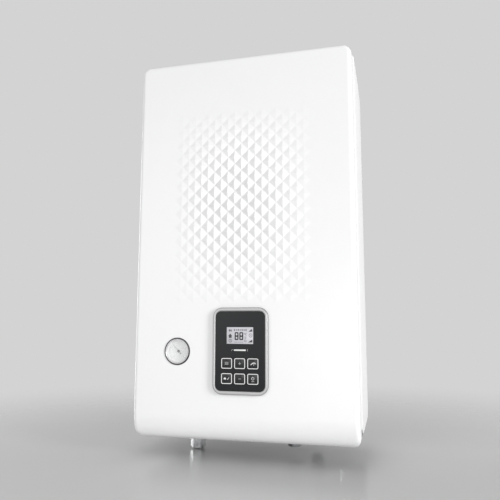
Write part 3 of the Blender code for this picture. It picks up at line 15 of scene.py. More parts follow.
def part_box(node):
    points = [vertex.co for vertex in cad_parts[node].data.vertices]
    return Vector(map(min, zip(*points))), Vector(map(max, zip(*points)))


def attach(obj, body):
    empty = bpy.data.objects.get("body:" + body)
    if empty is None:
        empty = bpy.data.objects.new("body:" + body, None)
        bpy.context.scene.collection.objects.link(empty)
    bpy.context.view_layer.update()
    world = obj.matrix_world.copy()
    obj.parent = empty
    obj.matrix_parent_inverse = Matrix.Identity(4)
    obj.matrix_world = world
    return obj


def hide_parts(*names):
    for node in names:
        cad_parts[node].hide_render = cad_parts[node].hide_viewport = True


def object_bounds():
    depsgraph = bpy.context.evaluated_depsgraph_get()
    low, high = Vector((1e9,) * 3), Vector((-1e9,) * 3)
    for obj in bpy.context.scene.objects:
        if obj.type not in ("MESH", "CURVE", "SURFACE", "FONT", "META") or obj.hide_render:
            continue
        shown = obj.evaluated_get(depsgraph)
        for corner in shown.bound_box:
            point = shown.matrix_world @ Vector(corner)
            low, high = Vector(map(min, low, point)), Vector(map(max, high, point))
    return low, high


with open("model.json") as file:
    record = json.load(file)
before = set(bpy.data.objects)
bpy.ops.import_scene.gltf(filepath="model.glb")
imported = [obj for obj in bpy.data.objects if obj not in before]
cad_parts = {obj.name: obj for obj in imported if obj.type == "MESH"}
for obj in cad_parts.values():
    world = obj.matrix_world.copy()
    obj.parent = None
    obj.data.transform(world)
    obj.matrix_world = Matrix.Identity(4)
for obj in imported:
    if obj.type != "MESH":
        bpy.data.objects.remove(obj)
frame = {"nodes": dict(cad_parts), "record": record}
cad_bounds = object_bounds()

MM = 0.001
GAP = 0.3
WELD = 0.01
PRINT = 0.05
UP = (0, 0, 1)
FORWARD = (0, -1, 0)
BACKWARD = (0, 1, 0)

# Cover
RIM_DEPTH = 36
COVER_CORNER = 15
COVER_EDGE = 7
COVER_WALL = 2.2
CHIN_HEIGHT = 43.5
CHIN_DEPTH = 30
EDGE_SUPPORT = 1.2
CORNER_STEPS = 10
EDGE_STEPS = 8
CHIN_STEPS = 14
FACE_CORNER = 9.2
HOUSING_MARGIN = 1.2
COVER_CREASE = math.radians(50)

# Pyramid relief
RELIEF_PITCH = 12
RELIEF_COLUMNS = 20
RELIEF_ROWS = 28
RELIEF_PEAK = 4.9
RELIEF_VALLEY = 0.7
RELIEF_RISE = 394.8
RELIEF_FADE_POWER = 1.5
RELIEF_LEAST = 0.05
RELIEF_BEVEL = 0.28

# Casing and tray
CASING_WALL = 1.5
CASING_CORNER = 4
CASING_LIP = 5.5
CASING_FRONT_ROUND = 14
CASING_REAR_ROUND = 25
CASING_FOLD = 2.5
TRAY_CORNER = 6
TRAY_WALL = 1.5
TRAY_INSET = 3
TRAY_FLOOR = 4
TRAY_EAR = 14
TRAY_EAR_SHARES = (0.25, 0.75)
SLOT_WIDTH = 5
SLOT_HEIGHT = 14
CLEAR = 2

# Cover's inside
EMBED = 0.6
GUIDE_WIDTH = 24
GUIDE_THICKNESS = 2
GUIDE_REACH = 52
GUIDE_ROOT = 16
GUIDE_HEIGHT_SHARES = (0.13, 0.8)
TAB_WIDTH = 26
TAB_THICKNESS = 2
TAB_REACH = 60
TAB_TOP = 3.7
TAB_CORNER = 4
SHANK_SHARE = 0.26
RIB_WALL = 1.4
RIB_DEPTH = 5
RIB_COLUMNS = (-176, -146, -62, 62, 146, 176)
RIB_ROWS = (58, 200, 235, 560, 600, 640)

# Panel and keys
BEZEL_CORNER = 16
FRAME_SEAM = 1.9
KEYS = {"key_heating": "heating_key", "key_plus": "plus_key", "key_hot_water": "hot_water_key",
        "key_mode": "mode_key", "key_minus": "minus_key", "key_power": "power_key"}
KEY_WIDTH = 18.8
KEY_HEIGHT = 17.5
KEY_CORNER = 3.0
KEY_EDGE = 0.25
KEY_FLANGE_THICKNESS = 1.0
KEY_LINE = 1.15
KEY_LINE_INSET = 0.3

# Gauge
GAUGE_RIM_INNER = 19.4
# Width of the gauge's near-black outer ring: painted gap shade and painted dark chrome reflection round the
# rim.
GAUGE_PAINTED_SHADE_RING = 1.8
GAUGE_DIVISIONS = 40
GAUGE_FIGURES = 4
GAUGE_START = 225
GAUGE_END = -45
GAUGE_SCALE = 16.8
GAUGE_FIGURE_RADIUS = 12.0
GAUGE_FIGURE_SIZE = 3.6
GAUGE_CASE_DEPTH = 52
GAUGE_CASE_WALL = 1.2
NEEDLE_REST = math.radians(132)

# Pipes and fittings
PIPE = 9
PIPE_BORE = 8
SUPPLY_NUT_TURN = math.radians(10)
RETURN_NUT_TURN = math.radians(20)
TANK = 55
CHAMFER_LEAN = 0.58

# Nodes kept from the CAD, with the size of their broken edges
BEVELLED = {"wall_bracket": 0.3, "back_plate": 0.2, "cross_rail": 0.25, "board_carrier": 0.2,
            "panel_housing": 0.5, "display_board": 0.15, "cover_screw_left": 0.3, "cover_screw_right": 0.3}

# Camera, from the photograph's perspective, with its place in metres
CAMERA_PLACE = (0.241, -1.117, -0.381)
CAMERA_YAW = math.radians(14.34)
CAMERA_PITCH = math.radians(7.79)
CAMERA_ROLL = math.radians(0.11)
CAMERA_LENS = 39.48
CAMERA_SENSOR = 36.0

# Studio, in metres; a lamp has its azimuth, rise, distance, size and level
BACKDROP = 0.651
WORLD_LEVEL = 0.36
STUDIO_TARGET = Vector((0, -0.2, -0.25))
STUDIO_LAMPS = (("front", -28, 0.14, 2.4, (1.4, 1.4), 0.17), ("low", 12, -0.12, 2.2, (1.2, 0.4), 0.26),
                ("key", 66, 0.12, 3.4, (1.0, 1.6), 0.68), ("side", 124, 0.05, 3.0, (1.0, 2.0), 0.08),
                ("rim", -112, 0.05, 3.0, (1.0, 2.0), 0.45))
FLOOR_DROP = 0.001
FLOOR_HALF = 3.0
FLOOR_FADE = (0.15, 1.3)
FLOOR_MIDDLE = -0.1


class Box:
    """A node's box: its sides, middle and size."""

    def __init__(self, name):
        low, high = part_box(name)
        self.left, self.front, self.bottom = (value / MM for value in low)
        self.right, self.back, self.top = (value / MM for value in high)
        self.x = (self.left + self.right) / 2
        self.y = (self.front + self.back) / 2
        self.z = (self.bottom + self.top) / 2
        self.width = self.right - self.left
        self.depth = self.back - self.front
        self.height = self.top - self.bottom


cover = Box("front_cover")
bezel = Box("control_bezel")
panel = Box("panel_face")
housing = Box("panel_housing")
casing = Box("casing")
tray = Box("bottom_tray")
screws = {-1: Box("cover_screw_left"), 1: Box("cover_screw_right")}
gland = Box("cable_gland")
FRONT = bezel.back + GAP
PIPE_Y = Box("return_pipe").y
SUPPLY_X = Box("supply_pipe").x
FILL_X = Box("fill_valve").right - 10
INLET_X = Box("inlet_pipe").right - 8.5
RETURN_X = Box("return_pipe").x
RELIEF_X = Box("relief_valve").right - 14
# Where pieces pass through the tray's floor: X, Y and radius
PASSAGES = {"supply": (SUPPLY_X, PIPE_Y, 9), "fill": (FILL_X, PIPE_Y, 10), "inlet": (INLET_X, PIPE_Y, 8.5),
            "return": (RETURN_X, PIPE_Y, 9), "relief": (RELIEF_X, PIPE_Y, 8.5),
            "gland": (gland.x, gland.y, 9.5)}


def placed(name, data):
    """A new object in the scene."""
    made = bpy.data.objects.new(name, data)
    bpy.context.scene.collection.objects.link(made)
    return made


def camera():
    data = bpy.data.cameras.new("camera")
    data.lens = CAMERA_LENS
    data.sensor_width = CAMERA_SENSOR
    made = placed("camera", data)
    made.matrix_world = (Matrix.Translation(CAMERA_PLACE) @ Matrix.Rotation(CAMERA_YAW, 4, "Z") @
                         Matrix.Rotation(math.pi / 2 + CAMERA_PITCH, 4, "X") @
                         Matrix.Rotation(CAMERA_ROLL, 4, "Z"))
    bpy.context.scene.camera = made


def add(tree, kind, inputs=(), **settings):
    """A shader node with its settings and inputs; an input that is another node's socket is linked."""
    made = tree.nodes.new("ShaderNode" + kind)
    for name, value in settings.items():
        setattr(made, name, value)
    for key, value in dict(inputs).items():
        if isinstance(value, bpy.types.NodeSocket):
            tree.links.new(value, made.inputs[key])
        else:
            made.inputs[key].default_value = value
    return made


def ramp(tree, source, places, colours):
    made = add(tree, "ValToRGB", {"Fac": source})
    for element, place, colour in zip(made.color_ramp.elements, places, colours):
        element.position = place
        element.color = (*colour, 1)
    return made.outputs["Color"]


looks = {}


def surface(name, colour, roughness, metallic=0.0, grain=900.0, bump=0.01, mottle=0.03, patch=25.0,
            spread=0.06, stretch=(1, 1, 1), **sockets):
    """A finish: base colour with a faint mottle, roughness that varies, and a fine grain as bump."""
    looks[name] = bpy.data.materials.new(name)
    looks[name].use_nodes = True
    tree = looks[name].node_tree
    shader = tree.nodes["Principled BSDF"]
    shader.inputs["Metallic"].default_value = metallic
    for socket, value in sockets.items():
        shader.inputs[socket.replace("_", " ")].default_value = value
    where = add(tree, "TexCoord").outputs["Object"]
    mapped = add(tree, "Mapping", {"Scale": stretch, "Vector": where}).outputs["Vector"]

    def noise(scale, detail):
        return add(tree, "TexNoise", {"Scale": scale, "Detail": detail, "Vector": mapped}).outputs["Fac"]

    darker = [c * (1 - mottle) for c in colour]
    paler = [min(1.0, c * (1 + mottle)) for c in colour]
    gloss = add(tree, "MapRange", {
        "From Min": 0.3, "From Max": 0.7, "To Min": max(0.02, roughness - spread / 2),
        "To Max": min(1.0, roughness + spread / 2), "Value": noise(patch * 6, 4.0)})
    relief = add(tree, "Bump", {"Distance": bump * MM, "Height": noise(grain, 2.0)})
    for socket, source in (("Base Color", ramp(tree, noise(patch, 3.0), (0.3, 0.7), (darker, paler))),
                           ("Roughness", gloss.outputs["Result"]), ("Normal", relief.outputs["Normal"])):
        tree.links.new(source, shader.inputs[socket])
    return tree


def spangled(tree):
    """Lay a zinc coat's crystals over a finish's base colour."""
    base = tree.nodes["Principled BSDF"].inputs["Base Color"]
    cells = add(tree, "TexVoronoi", {"Scale": 130, "Vector": add(tree, "TexCoord").outputs["Object"]})
    shade = ramp(tree, cells.outputs["Distance"], (0.0, 1.0), ((0.86, 0.87, 0.88), (1, 1, 1)))
    blend = add(tree, "Mix", {"Factor": 1.0, "A": base.links[0].from_socket, "B": shade}, data_type="RGBA",
                blend_type="MULTIPLY")
    tree.links.new(blend.outputs["Result"], base)


def finishes():
    """One material for each look, most of them named as the record's slots."""
    surface("white_enamel", (0.90, 0.90, 0.905), 0.34, grain=1400, bump=0.006, mottle=0.004, spread=0.04)
    surface("casing_enamel", (0.88, 0.88, 0.885), 0.40, grain=1100, bump=0.014, mottle=0.004, spread=0.05)
    # The tray's grey is darker than its real mid-grey: partly its colour, partly painted shade so the floor
    # under the boiler reflects dark.
    surface("grey_enamel", (0.15, 0.155, 0.16), 0.5, bump=0.015)
    surface("red_enamel", (0.55, 0.05, 0.04), 0.3, grain=700, bump=0.012, mottle=0.05, Coat_Weight=0.3)
    spangled(surface("zinc_steel", (0.62, 0.63, 0.64), 0.36, 1.0, grain=120, mottle=0.08, spread=0.16))
    surface("stainless", (0.66, 0.66, 0.67), 0.27, 1.0, grain=600, bump=0.006, mottle=0.02, spread=0.12,
            stretch=(1, 1, 0.03))
    surface("silver_trim", (0.43, 0.43, 0.43), 0.44, 0.7, grain=1800, bump=0.003, mottle=0.01, spread=0.04)
    # Painted shade: near-black for the band round the panel frame's foot, standing in for the shadow under
    # it.
    surface("painted_shade_trim", (0.10, 0.10, 0.105), 0.35, bump=0.004)
    surface("dark_glass", (0.013, 0.014, 0.015), 0.24, bump=0, mottle=0.02, spread=0.04,
            Specular_IOR_Level=0.22)
    surface("key_black", (0.021, 0.022, 0.023), 0.28, grain=1600, bump=0.003, Specular_IOR_Level=0.25)
    surface("key_print", (0.85, 0.85, 0.85), 0.45, bump=0.002, mottle=0.02)
    surface("dim_print", (0.40, 0.40, 0.40), 0.45, bump=0.002, mottle=0.02)
    surface("display_grey", (0.57, 0.57, 0.60), 0.25, bump=0, mottle=0.015)
    surface("display_dark", (0.02, 0.02, 0.024), 0.4, bump=0)
    surface("display_mid", (0.13, 0.13, 0.145), 0.4, bump=0)
    surface("light_lens", (0.78, 0.79, 0.78), 0.3, bump=0, mottle=0.01)
    surface("black_plastic", (0.045, 0.045, 0.048), 0.45, grain=1800, bump=0.02)
    surface("grey_plastic", (0.12, 0.12, 0.13), 0.5, grain=1800, bump=0.02)
    surface("cream_plastic", (0.75, 0.73, 0.66), 0.42, grain=1500)
    surface("red_plastic", (0.60, 0.03, 0.03), 0.38, grain=1500, bump=0.015)
    surface("board_green", (0.03, 0.17, 0.07), 0.35, grain=500, mottle=0.12, patch=160)
    surface("winding_yellow", (0.62, 0.46, 0.08), 0.38, grain=300, bump=0.03, stretch=(0.1, 0.1, 2.0))
    surface("gauge_steel", (0.66, 0.66, 0.67), 0.40, 0.5, grain=1500, bump=0.002)
    # Near-black for the gauge's outer ring: painted gap shade and painted dark reflection of the rim's
    # chrome.
    surface("painted_rim_shade", (0.035, 0.035, 0.038), 0.34, bump=0.004)
    surface("gauge_face", (0.88, 0.88, 0.88), 0.5, bump=0.003, mottle=0.01)
    surface("gauge_print", (0.50, 0.50, 0.51), 0.5, bump=0)
    surface("chrome", (0.50, 0.51, 0.52), 0.10, 1.0, grain=800, bump=0.001, mottle=0.01, spread=0.04)
    surface("brass", (0.74, 0.55, 0.26), 0.26, 1.0, grain=500, bump=0.008, mottle=0.08, spread=0.12,
            stretch=(1, 1, 3))
    surface("copper", (0.78, 0.42, 0.27), 0.27, 1.0, grain=300, bump=0.006, mottle=0.12, patch=40,
            spread=0.18)
    surface("cast_grey", (0.20, 0.21, 0.22), 0.55, 0.3, grain=700, bump=0.09, mottle=0.10)
    surface("element_sheath", (0.42, 0.41, 0.40), 0.34, 1.0, grain=500, mottle=0.15, patch=60, spread=0.15)
    surface("rubber_black", (0.03, 0.03, 0.03), 0.75, bump=0.03)
    surface("needle_paint", (0.42, 0.42, 0.43), 0.4, bump=0.002)
    surface("lens_glass", (0.92, 0.93, 0.94), 0.05, bump=0, mottle=0.005, spread=0.02, Alpha=0.12)


def as_mesh(work):
    mesh = bpy.data.meshes.new("shape")
    work.to_mesh(mesh)
    work.free()
    return mesh


def finished(work):
    """The mesh of a worked shape, with its seams welded and its faces turned outwards."""
    bmesh.ops.remove_doubles(work, verts=work.verts, dist=WELD * MM)
    bmesh.ops.recalc_face_normals(work, faces=work.faces)
    return as_mesh(work)


def gather(*meshes):
    """Several closed meshes as one."""
    work = bmesh.new()
    for mesh in meshes:
        work.from_mesh(mesh)
        bpy.data.meshes.remove(mesh)
    return as_mesh(work)


def piece(name, mesh, slot, node=None, angle=30, look=None, body="chassis"):
    """Put a mesh in the scene with its finish, on the body that carries it; no angle keeps its shading."""
    mesh.name = name
    made = placed(name, mesh)
    mesh.materials.clear()
    mesh.materials.append(looks[look or slot])
    if angle:
        mesh.shade_smooth()
        mesh.set_sharp_from_angle(angle=math.radians(angle))
    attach(made, body)
    if node:
        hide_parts(node)


def evaluated(made):
    """A mesh copy of an object with its modifiers; the object is removed."""
    bpy.context.view_layer.update()
    graph = bpy.context.evaluated_depsgraph_get()
    mesh = bpy.data.meshes.new_from_object(made.evaluated_get(graph))
    mesh.transform(made.matrix_world)
    bpy.data.objects.remove(made, do_unlink=True)
    work = bmesh.new()
    work.from_mesh(mesh)
    bpy.data.meshes.remove(mesh)
    return finished(work)


def walled(mesh, wall):
    """A skin given its thickness inwards."""
    made = placed("working", mesh)
    shell = made.modifiers.new("Wall", "SOLIDIFY")
    shell.thickness = wall * MM
    shell.offset = -1.0
    shell.use_even_offset = True
    return evaluated(made)


def soften(made, edge, steps=2, angle=40):
    bevel = made.modifiers.new("Edge", "BEVEL")
    bevel.width = edge * MM
    bevel.segments = steps
    bevel.limit_method = "ANGLE"
    bevel.angle_limit = math.radians(angle)
    bevel.harden_normals = False
    return made


def softened(mesh, edge, steps=2, angle=40):
    return evaluated(soften(placed("working", mesh), edge, steps, angle))


def carved(mesh, *tools, operation="DIFFERENCE"):
    """Cut closed meshes out of a closed mesh, or keep what it shares with one."""
    made = placed("working", mesh)
    cutters = [placed("working", tool) for tool in tools]
    for cutter in cutters:
        step = made.modifiers.new("Cut", "BOOLEAN")
        step.operation = operation
        step.solver = "EXACT"
        step.object = cutter
    result = evaluated(made)
    for cutter in cutters:
        bpy.data.objects.remove(cutter, do_unlink=True)
    return result


def oval(centre, across, up, start, end, steps=10):
    """Points along an arc of an ellipse."""
    points = []
    for i in range(steps + 1):
        angle = math.radians(start + (end - start) * i / steps)
        points.append((centre[0] + across * math.cos(angle), centre[1] + up * math.sin(angle)))
    return points


def arc(centre, radius, start, end, steps):
    return oval(centre, radius, radius, start, end, steps)


def band_arc(centre, outer, inner, start, end, steps=16):
    return arc(centre, outer, start, end, steps) + arc(centre, inner, end, start, steps)


def circle(centre, radius, steps=96):
    return arc(centre, radius, 0, 360, steps)[:-1]


def rounded(width, height, radius, centre=(0, 0), steps=CORNER_STEPS):
    points = []
    for side_x, side_y, start in ((1, -1, -90), (1, 1, 0), (-1, 1, 90), (-1, -1, 180)):
        corner = (centre[0] + side_x * (width / 2 - radius), centre[1] + side_y * (height / 2 - radius))
        points += arc(corner, radius, start, start + 90, steps)
    return points


def waved(centre, radius, wave, count, steps=120):
    """A circle whose radius swells and shrinks a count of times."""
    points = []
    for i in range(steps):
        turn = 2 * math.pi * i / steps
        reach = radius + wave * math.cos(count * turn)
        points.append((centre[0] + reach * math.cos(turn), centre[1] + reach * math.sin(turn)))
    return points


def hexagonal(radius, each=4):
    """Points evenly along a regular hexagon, as many as a coarse circle has."""
    corners = [Vector((math.cos(math.pi * i / 3), math.sin(math.pi * i / 3))) * radius for i in range(6)]
    return [tuple(corners[i].lerp(corners[(i + 1) % 6], k / each)) for i in range(6) for k in range(each)]


def bar(start, end, width):
    """Corners of a straight stroke between two points of a plane."""
    start = Vector(start)
    end = Vector(end)
    side = (end - start).orthogonal().normalized() * width / 2
    return [tuple(start - side), tuple(end - side), tuple(end + side), tuple(start + side)]


def metres(point):
    return Vector([value * MM for value in point])


def vertex(work, point, centre=Vector(), turn=Matrix.Identity(3)):
    """A vertex at a point in millimetres, turned and then moved to a centre in metres."""
    return work.verts.new(centre + turn @ metres(point))


def skin(work, rows, closed=True):
    """Four-sided faces between neighbouring rows of vertices, but none between two poles."""
    count = len(rows[0])
    for row, other in zip(rows, rows[1:]):
        for i in range(count if closed else count - 1):
            j = (i + 1) % count
            if row[i].co != other[i].co or row[j].co != other[j].co:
                work.faces.new((row[i], row[j], other[j], other[i]))


def loft(rings, closed=True, ends=False, loop=False, place=()):
    """A skin through rings of the same count of points; a loop joins the last ring to the first."""
    work = bmesh.new()
    rows = [[vertex(work, point, *place) for point in ring] for ring in rings]
    skin(work, rows + rows[:1] if loop else rows, closed)
    if ends:
        work.faces.new(rows[0])
        work.faces.new(rows[-1])
    return finished(work)


def aimed(centre, way):
    """A centre in metres, and the turn that makes what is drawn upright face a way."""
    return metres(centre), Vector(way).to_track_quat("Z", "Y").to_matrix()


def lathe(profile, centre, way=UP, steps=96, ring=False):
    """A turned mesh from (radius, height) points; a ring's profile closes on itself."""
    turns = [2 * math.pi * i / steps for i in range(steps)]
    rings = [[(radius * math.cos(turn), radius * math.sin(turn), height) for radius, height in profile]
             for turn in turns]
    return loft(rings, ring, loop=True, place=aimed(centre, way))


def tower(levels, centre, way=UP):
    """A closed mesh through flat outlines at heights along a direction."""
    rings = [[(x, y, height) for x, y in outline] for outline, height in levels]
    return loft(rings, ends=True, place=aimed(centre, way))


def prism(outline, low, high, axis="Z", holes=()):
    """A flat outline with thickness; points are (y, z) along X, (x, z) along Y and (x, y) along Z."""
    curve = bpy.data.curves.new("outline", "CURVE")
    curve.dimensions = "2D"
    curve.fill_mode = "BOTH"
    curve.extrude = (high - low) / 2 * MM
    for line in (outline, *holes):
        spline = curve.splines.new("POLY")
        spline.points.add(len(line) - 1)
        for point, where in zip(spline.points, line):
            point.co = (where[0] * MM, where[1] * MM, 0, 1)
        spline.use_cyclic_u = True
    made = placed("outline", curve)
    columns = {"X": ((0, 1, 0), (0, 0, 1), (1, 0, 0)), "Y": ((1, 0, 0), (0, 0, 1), (0, -1, 0)),
               "Z": ((1, 0, 0), (0, 1, 0), (0, 0, 1))}[axis]
    made.matrix_world = Matrix(columns).transposed().to_4x4()
    made.location["XYZ".index(axis)] = (low + high) / 2 * MM
    return evaluated(made)


def block(low, high, edge=0.0, steps=2):
    low = metres(low)
    high = metres(high)
    work = bmesh.new()
    bmesh.ops.create_cube(work, size=1.0)
    bmesh.ops.scale(work, vec=high - low, verts=work.verts)
    bmesh.ops.translate(work, vec=(low + high) / 2, verts=work.verts)
    bmesh.ops.bevel(work, geom=work.edges[:], offset=edge * MM, segments=steps, profile=0.5, affect="EDGES")
    return as_mesh(work)


def around(centre, size, edge):
    return block([c - s / 2 for c, s in zip(centre, size)], [c + s / 2 for c, s in zip(centre, size)], edge)


def raised(outlines, y):
    """Flat shapes that stand a hair proud of a front-facing surface."""
    work = bmesh.new()
    for outline in outlines:
        rear = [vertex(work, (x, y + PRINT, z)) for x, z in outline]
        front = [vertex(work, (x, y - PRINT, z)) for x, z in outline]
        work.faces.new(front)
        work.faces.new(reversed(rear))
        skin(work, (front, rear))
    return finished(work)


def raised_band(outer, inner, y):
    """A closed line of even width that stands a hair proud of a front-facing surface."""
    levels = ((outer, y + PRINT), (outer, y - PRINT), (inner, y - PRINT), (inner, y + PRINT))
    return loft([[(x, depth, z) for x, z in outline] for outline, depth in levels], loop=True)


def lettering(text, size, centre, y):
    """Plain figures that stand a hair proud of a front-facing surface."""
    curve = bpy.data.curves.new("figures", "FONT")
    curve.body = text
    curve.size = size * MM
    curve.align_x = "CENTER"
    curve.align_y = "CENTER"
    curve.extrude = PRINT * MM
    curve.resolution_u = 3
    made = placed("figures", curve)
    spot = Matrix.Translation(metres((centre[0], y, centre[1])))
    made.matrix_world = spot @ Matrix.Rotation(math.pi / 2, 4, "X")
    return evaluated(made)


def hexagon(radius, low, high, centre, bore, chamfer=1.2, turn=0.0):
    """A hexagon along Z with a bore and both its ends chamfered."""
    corners = [(centre[0] + radius * math.cos(math.pi * i / 3 + turn),
                centre[1] + radius * math.sin(math.pi * i / 3 + turn)) for i in range(6)]
    lean = chamfer * CHAMFER_LEAN
    end = radius - chamfer
    profile = [(0, high + 1), (end - 1.7, high + 1), (end, high), (radius, high - lean), (radius, low + lean),
               (end, low), (end - 1.7, low - 1), (0, low - 1)]
    return carved(prism(corners, low, high, holes=[circle(centre, bore, 48)]),
                  lathe(profile, (centre[0], centre[1], 0), steps=72), operation="INTERSECT")


def thread(radius, depth, start, end, pitch):
    """Profile points of turned ridges from one height to another."""
    points = []
    count = max(1, round(abs(end - start) / pitch))
    for i in range(count):
        base = start + (end - start) * i / count
        tip = start + (end - start) * (i + 0.5) / count
        points += [(radius - depth, base), (radius, tip)]
    return points + [(radius - depth, end)]


def bolt(centre, way, radius):
    """A hexagon head on its washer."""
    washer = circle((0, 0), 1.45 * radius, 24)
    return tower([(washer, -0.05), (washer, 0.25 * radius), (hexagonal(radius), 0.25 * radius),
                  (hexagonal(radius), 0.95 * radius), (hexagonal(0.86 * radius), 1.1 * radius)], centre, way)


def socket_screw(centre, radius):
    """A domed head with a six-sided socket, facing forward."""
    head = circle((0, 0), radius, 24)
    return tower([(head, -0.05), (head, 0.45 * radius), (circle((0, 0), 0.8 * radius, 24), 0.75 * radius),
                  (hexagonal(0.5 * radius), 0.8 * radius), (hexagonal(0.48 * radius), 0.3 * radius)],
                 centre, FORWARD)


def bent(corners, bend, steps=10):
    """A route with square corners rounded to arcs."""
    corners = [Vector(corner) for corner in corners]
    points = [corners[0]]
    for before, corner, after in zip(corners, corners[1:], corners[2:]):
        come = (corner - before).normalized()
        leave = (after - corner).normalized()
        centre = corner - come * bend + leave * bend
        for i in range(steps + 1):
            angle = math.pi / 2 * i / steps
            points.append(centre - leave * bend * math.cos(angle) + come * bend * math.sin(angle))
    return points + [corners[-1]]


def sweep(points, radius, inner, sides=32):
    """A tube along a route, open through its whole length."""
    ways = [(after - before).normalized()
            for before, after in zip([points[0]] + points[:-1], points[1:] + [points[-1]])]
    normal = ways[0].orthogonal()
    rings = ([], [])
    for point, way in zip(points, ways):
        normal = (normal - way * normal.dot(way)).normalized()
        side = way.cross(normal)
        for ring, reach in zip(rings, (radius, inner)):
            ring.append([point + (normal * x + side * y) * reach for x, y in circle((0, 0), 1, sides)])
    return loft(rings[0] + rings[1][::-1], loop=True)


def collar(centre, way, inner, outer, length):
    """A short turned ring round a pipe."""
    profile = [(inner, 0), (outer, 0), (outer, length - 0.8), (outer - 0.8, length), (inner, length)]
    return lathe(profile, centre, way, 48, ring=True)


def above(height):
    """Z of a place this high above the cover's lower edge."""
    return cover.bottom + height


def deep(depth):
    """Y of a place this far behind the cover's front plane."""
    return FRONT + depth


def chin(height):
    """How far the cover's lower face has rolled back at a height above its lower edge."""
    if height >= CHIN_HEIGHT:
        return 0.0
    share = (CHIN_HEIGHT - height) / CHIN_HEIGHT
    return CHIN_DEPTH * (1 - math.sqrt(max(0.0, 1 - share * share)))


def cover_ring(inset, depth):
    """The cover's outline this far inside its sides, at a depth that the chin shortens."""
    radius = COVER_CORNER - inset
    across = cover.right - COVER_CORNER
    side = arc((across, COVER_CORNER), radius, -90, 0, CORNER_STEPS)
    for i in range(1, CHIN_STEPS + 1):
        side.append((cover.right - inset, COVER_CORNER + (CHIN_HEIGHT - COVER_CORNER) * i / CHIN_STEPS))
    side += arc((across, cover.height - COVER_CORNER), radius, 0, 90, CORNER_STEPS)
    ring = []
    for x, height in side + [(-x, height) for x, height in reversed(side)]:
        back = chin(height)
        ring.append((x, deep(back + depth * (RIM_DEPTH - back) / RIM_DEPTH), above(height)))
    return ring


def relief_rise(column, row):
    """Height of a pyramid of the relief, tall in the middle and low at the borders."""
    across = 1 - abs(2 * column / RELIEF_COLUMNS) ** RELIEF_FADE_POWER
    up = 1 - abs(2 * row / RELIEF_ROWS) ** RELIEF_FADE_POWER
    return RELIEF_PEAK * (RELIEF_LEAST + (1 - RELIEF_LEAST) * across * up)


def relief_pyramids(work):
    """Pyramids on a diamond lattice with flat valleys between; gives its border edges and its facets."""
    reach = RELIEF_PITCH - RELIEF_VALLEY
    foot = reach - RELIEF_BEVEL
    ways = ((1, 0), (0, 1), (-1, 0), (0, -1))
    facets = []
    bases = {}
    for column in range(1 - RELIEF_COLUMNS // 2, RELIEF_COLUMNS // 2):
        for row in range(1 - RELIEF_ROWS // 2, RELIEF_ROWS // 2):
            if (column + row) % 2:
                continue
            x = column * RELIEF_PITCH
            z = above(RELIEF_RISE) + row * RELIEF_PITCH
            top = FRONT - relief_rise(column, row) * (1 - 2 * RELIEF_BEVEL / reach)
            base = []
            peaks = []
            for (out_x, out_z), (next_x, next_z) in zip(ways, ways[1:] + ways[:1]):
                for side in (-RELIEF_BEVEL, RELIEF_BEVEL):
                    base.append(vertex(work, (x + out_x * foot + side * next_x, FRONT,
                                              z + out_z * foot + side * next_z)))
                peaks.append(vertex(work, (x + (out_x + next_x) * RELIEF_BEVEL, top,
                                           z + (out_z + next_z) * RELIEF_BEVEL)))
            for i in range(4):
                facets.append(work.faces.new((base[2 * i + 1], base[(2 * i + 2) % 8], peaks[i])))
                facets.append(work.faces.new((base[2 * i], base[2 * i + 1], peaks[i], peaks[i - 1])))
            facets.append(work.faces.new(peaks))
            bases[(column, row)] = base
    valleys = []
    for (column, row), base in bases.items():
        for i, dx in enumerate((1, -1)):
            other = bases.get((column + dx, row + 1))
            if other:
                corners = (base[2 * i + 1], other[(2 * i + 6) % 8], other[2 * i + 5], base[2 * i + 2])
                valleys.append(work.faces.new(corners))
        ring = [base, *(bases.get((column + dx, row + dz)) for dx, dz in ((1, 1), (2, 0), (1, -1)))]
        if all(ring):
            pairs = ((0, 1), (6, 7), (4, 5), (2, 3))
            valleys.append(work.faces.new([ring[k][i] for k, pair in enumerate(pairs) for i in pair]))
    border = list(dict.fromkeys(edge for face in facets + valleys for edge in face.edges if edge.is_boundary))
    return border, set(facets)


def cover_skin(work, wall, openings, relief=False):
    """One side of the cover's moulding, this far under its face; gives its rim, holes and flat relief."""
    edge = COVER_EDGE - wall
    rings = [cover_ring(wall, RIM_DEPTH)]
    for i in range(EDGE_STEPS + 1):
        angle = math.radians(90 * i / EDGE_STEPS)
        rings.append(cover_ring(COVER_EDGE - edge * math.cos(angle), COVER_EDGE - edge * math.sin(angle)))
    rings.append(cover_ring(COVER_EDGE + EDGE_SUPPORT, wall))
    rows = [[vertex(work, point) for point in ring] for ring in rings]
    skin(work, rows)
    inner = rows[-1]
    count = len(inner)
    turn = CORNER_STEPS + CHIN_STEPS
    for i in range(turn):
        work.faces.new((inner[i], inner[i + 1], inner[count - 2 - i], inner[count - 1 - i]))
    loops = [rows[0]]
    for points in openings:
        loops.append([vertex(work, (x, deep(wall), z)) for x, z in points])

    def joined(line):
        return [work.edges.get(pair) or work.edges.new(pair) for pair in zip(line, line[1:] + line[:1])]

    edges = joined(inner[turn:count - turn])
    facets = set()
    if relief:
        border, facets = relief_pyramids(work)
        edges += border
    for line in loops[1:]:
        edges += joined(line)
    bmesh.ops.triangle_fill(work, use_beauty=True, edges=edges, normal=FORWARD)
    return loops, facets


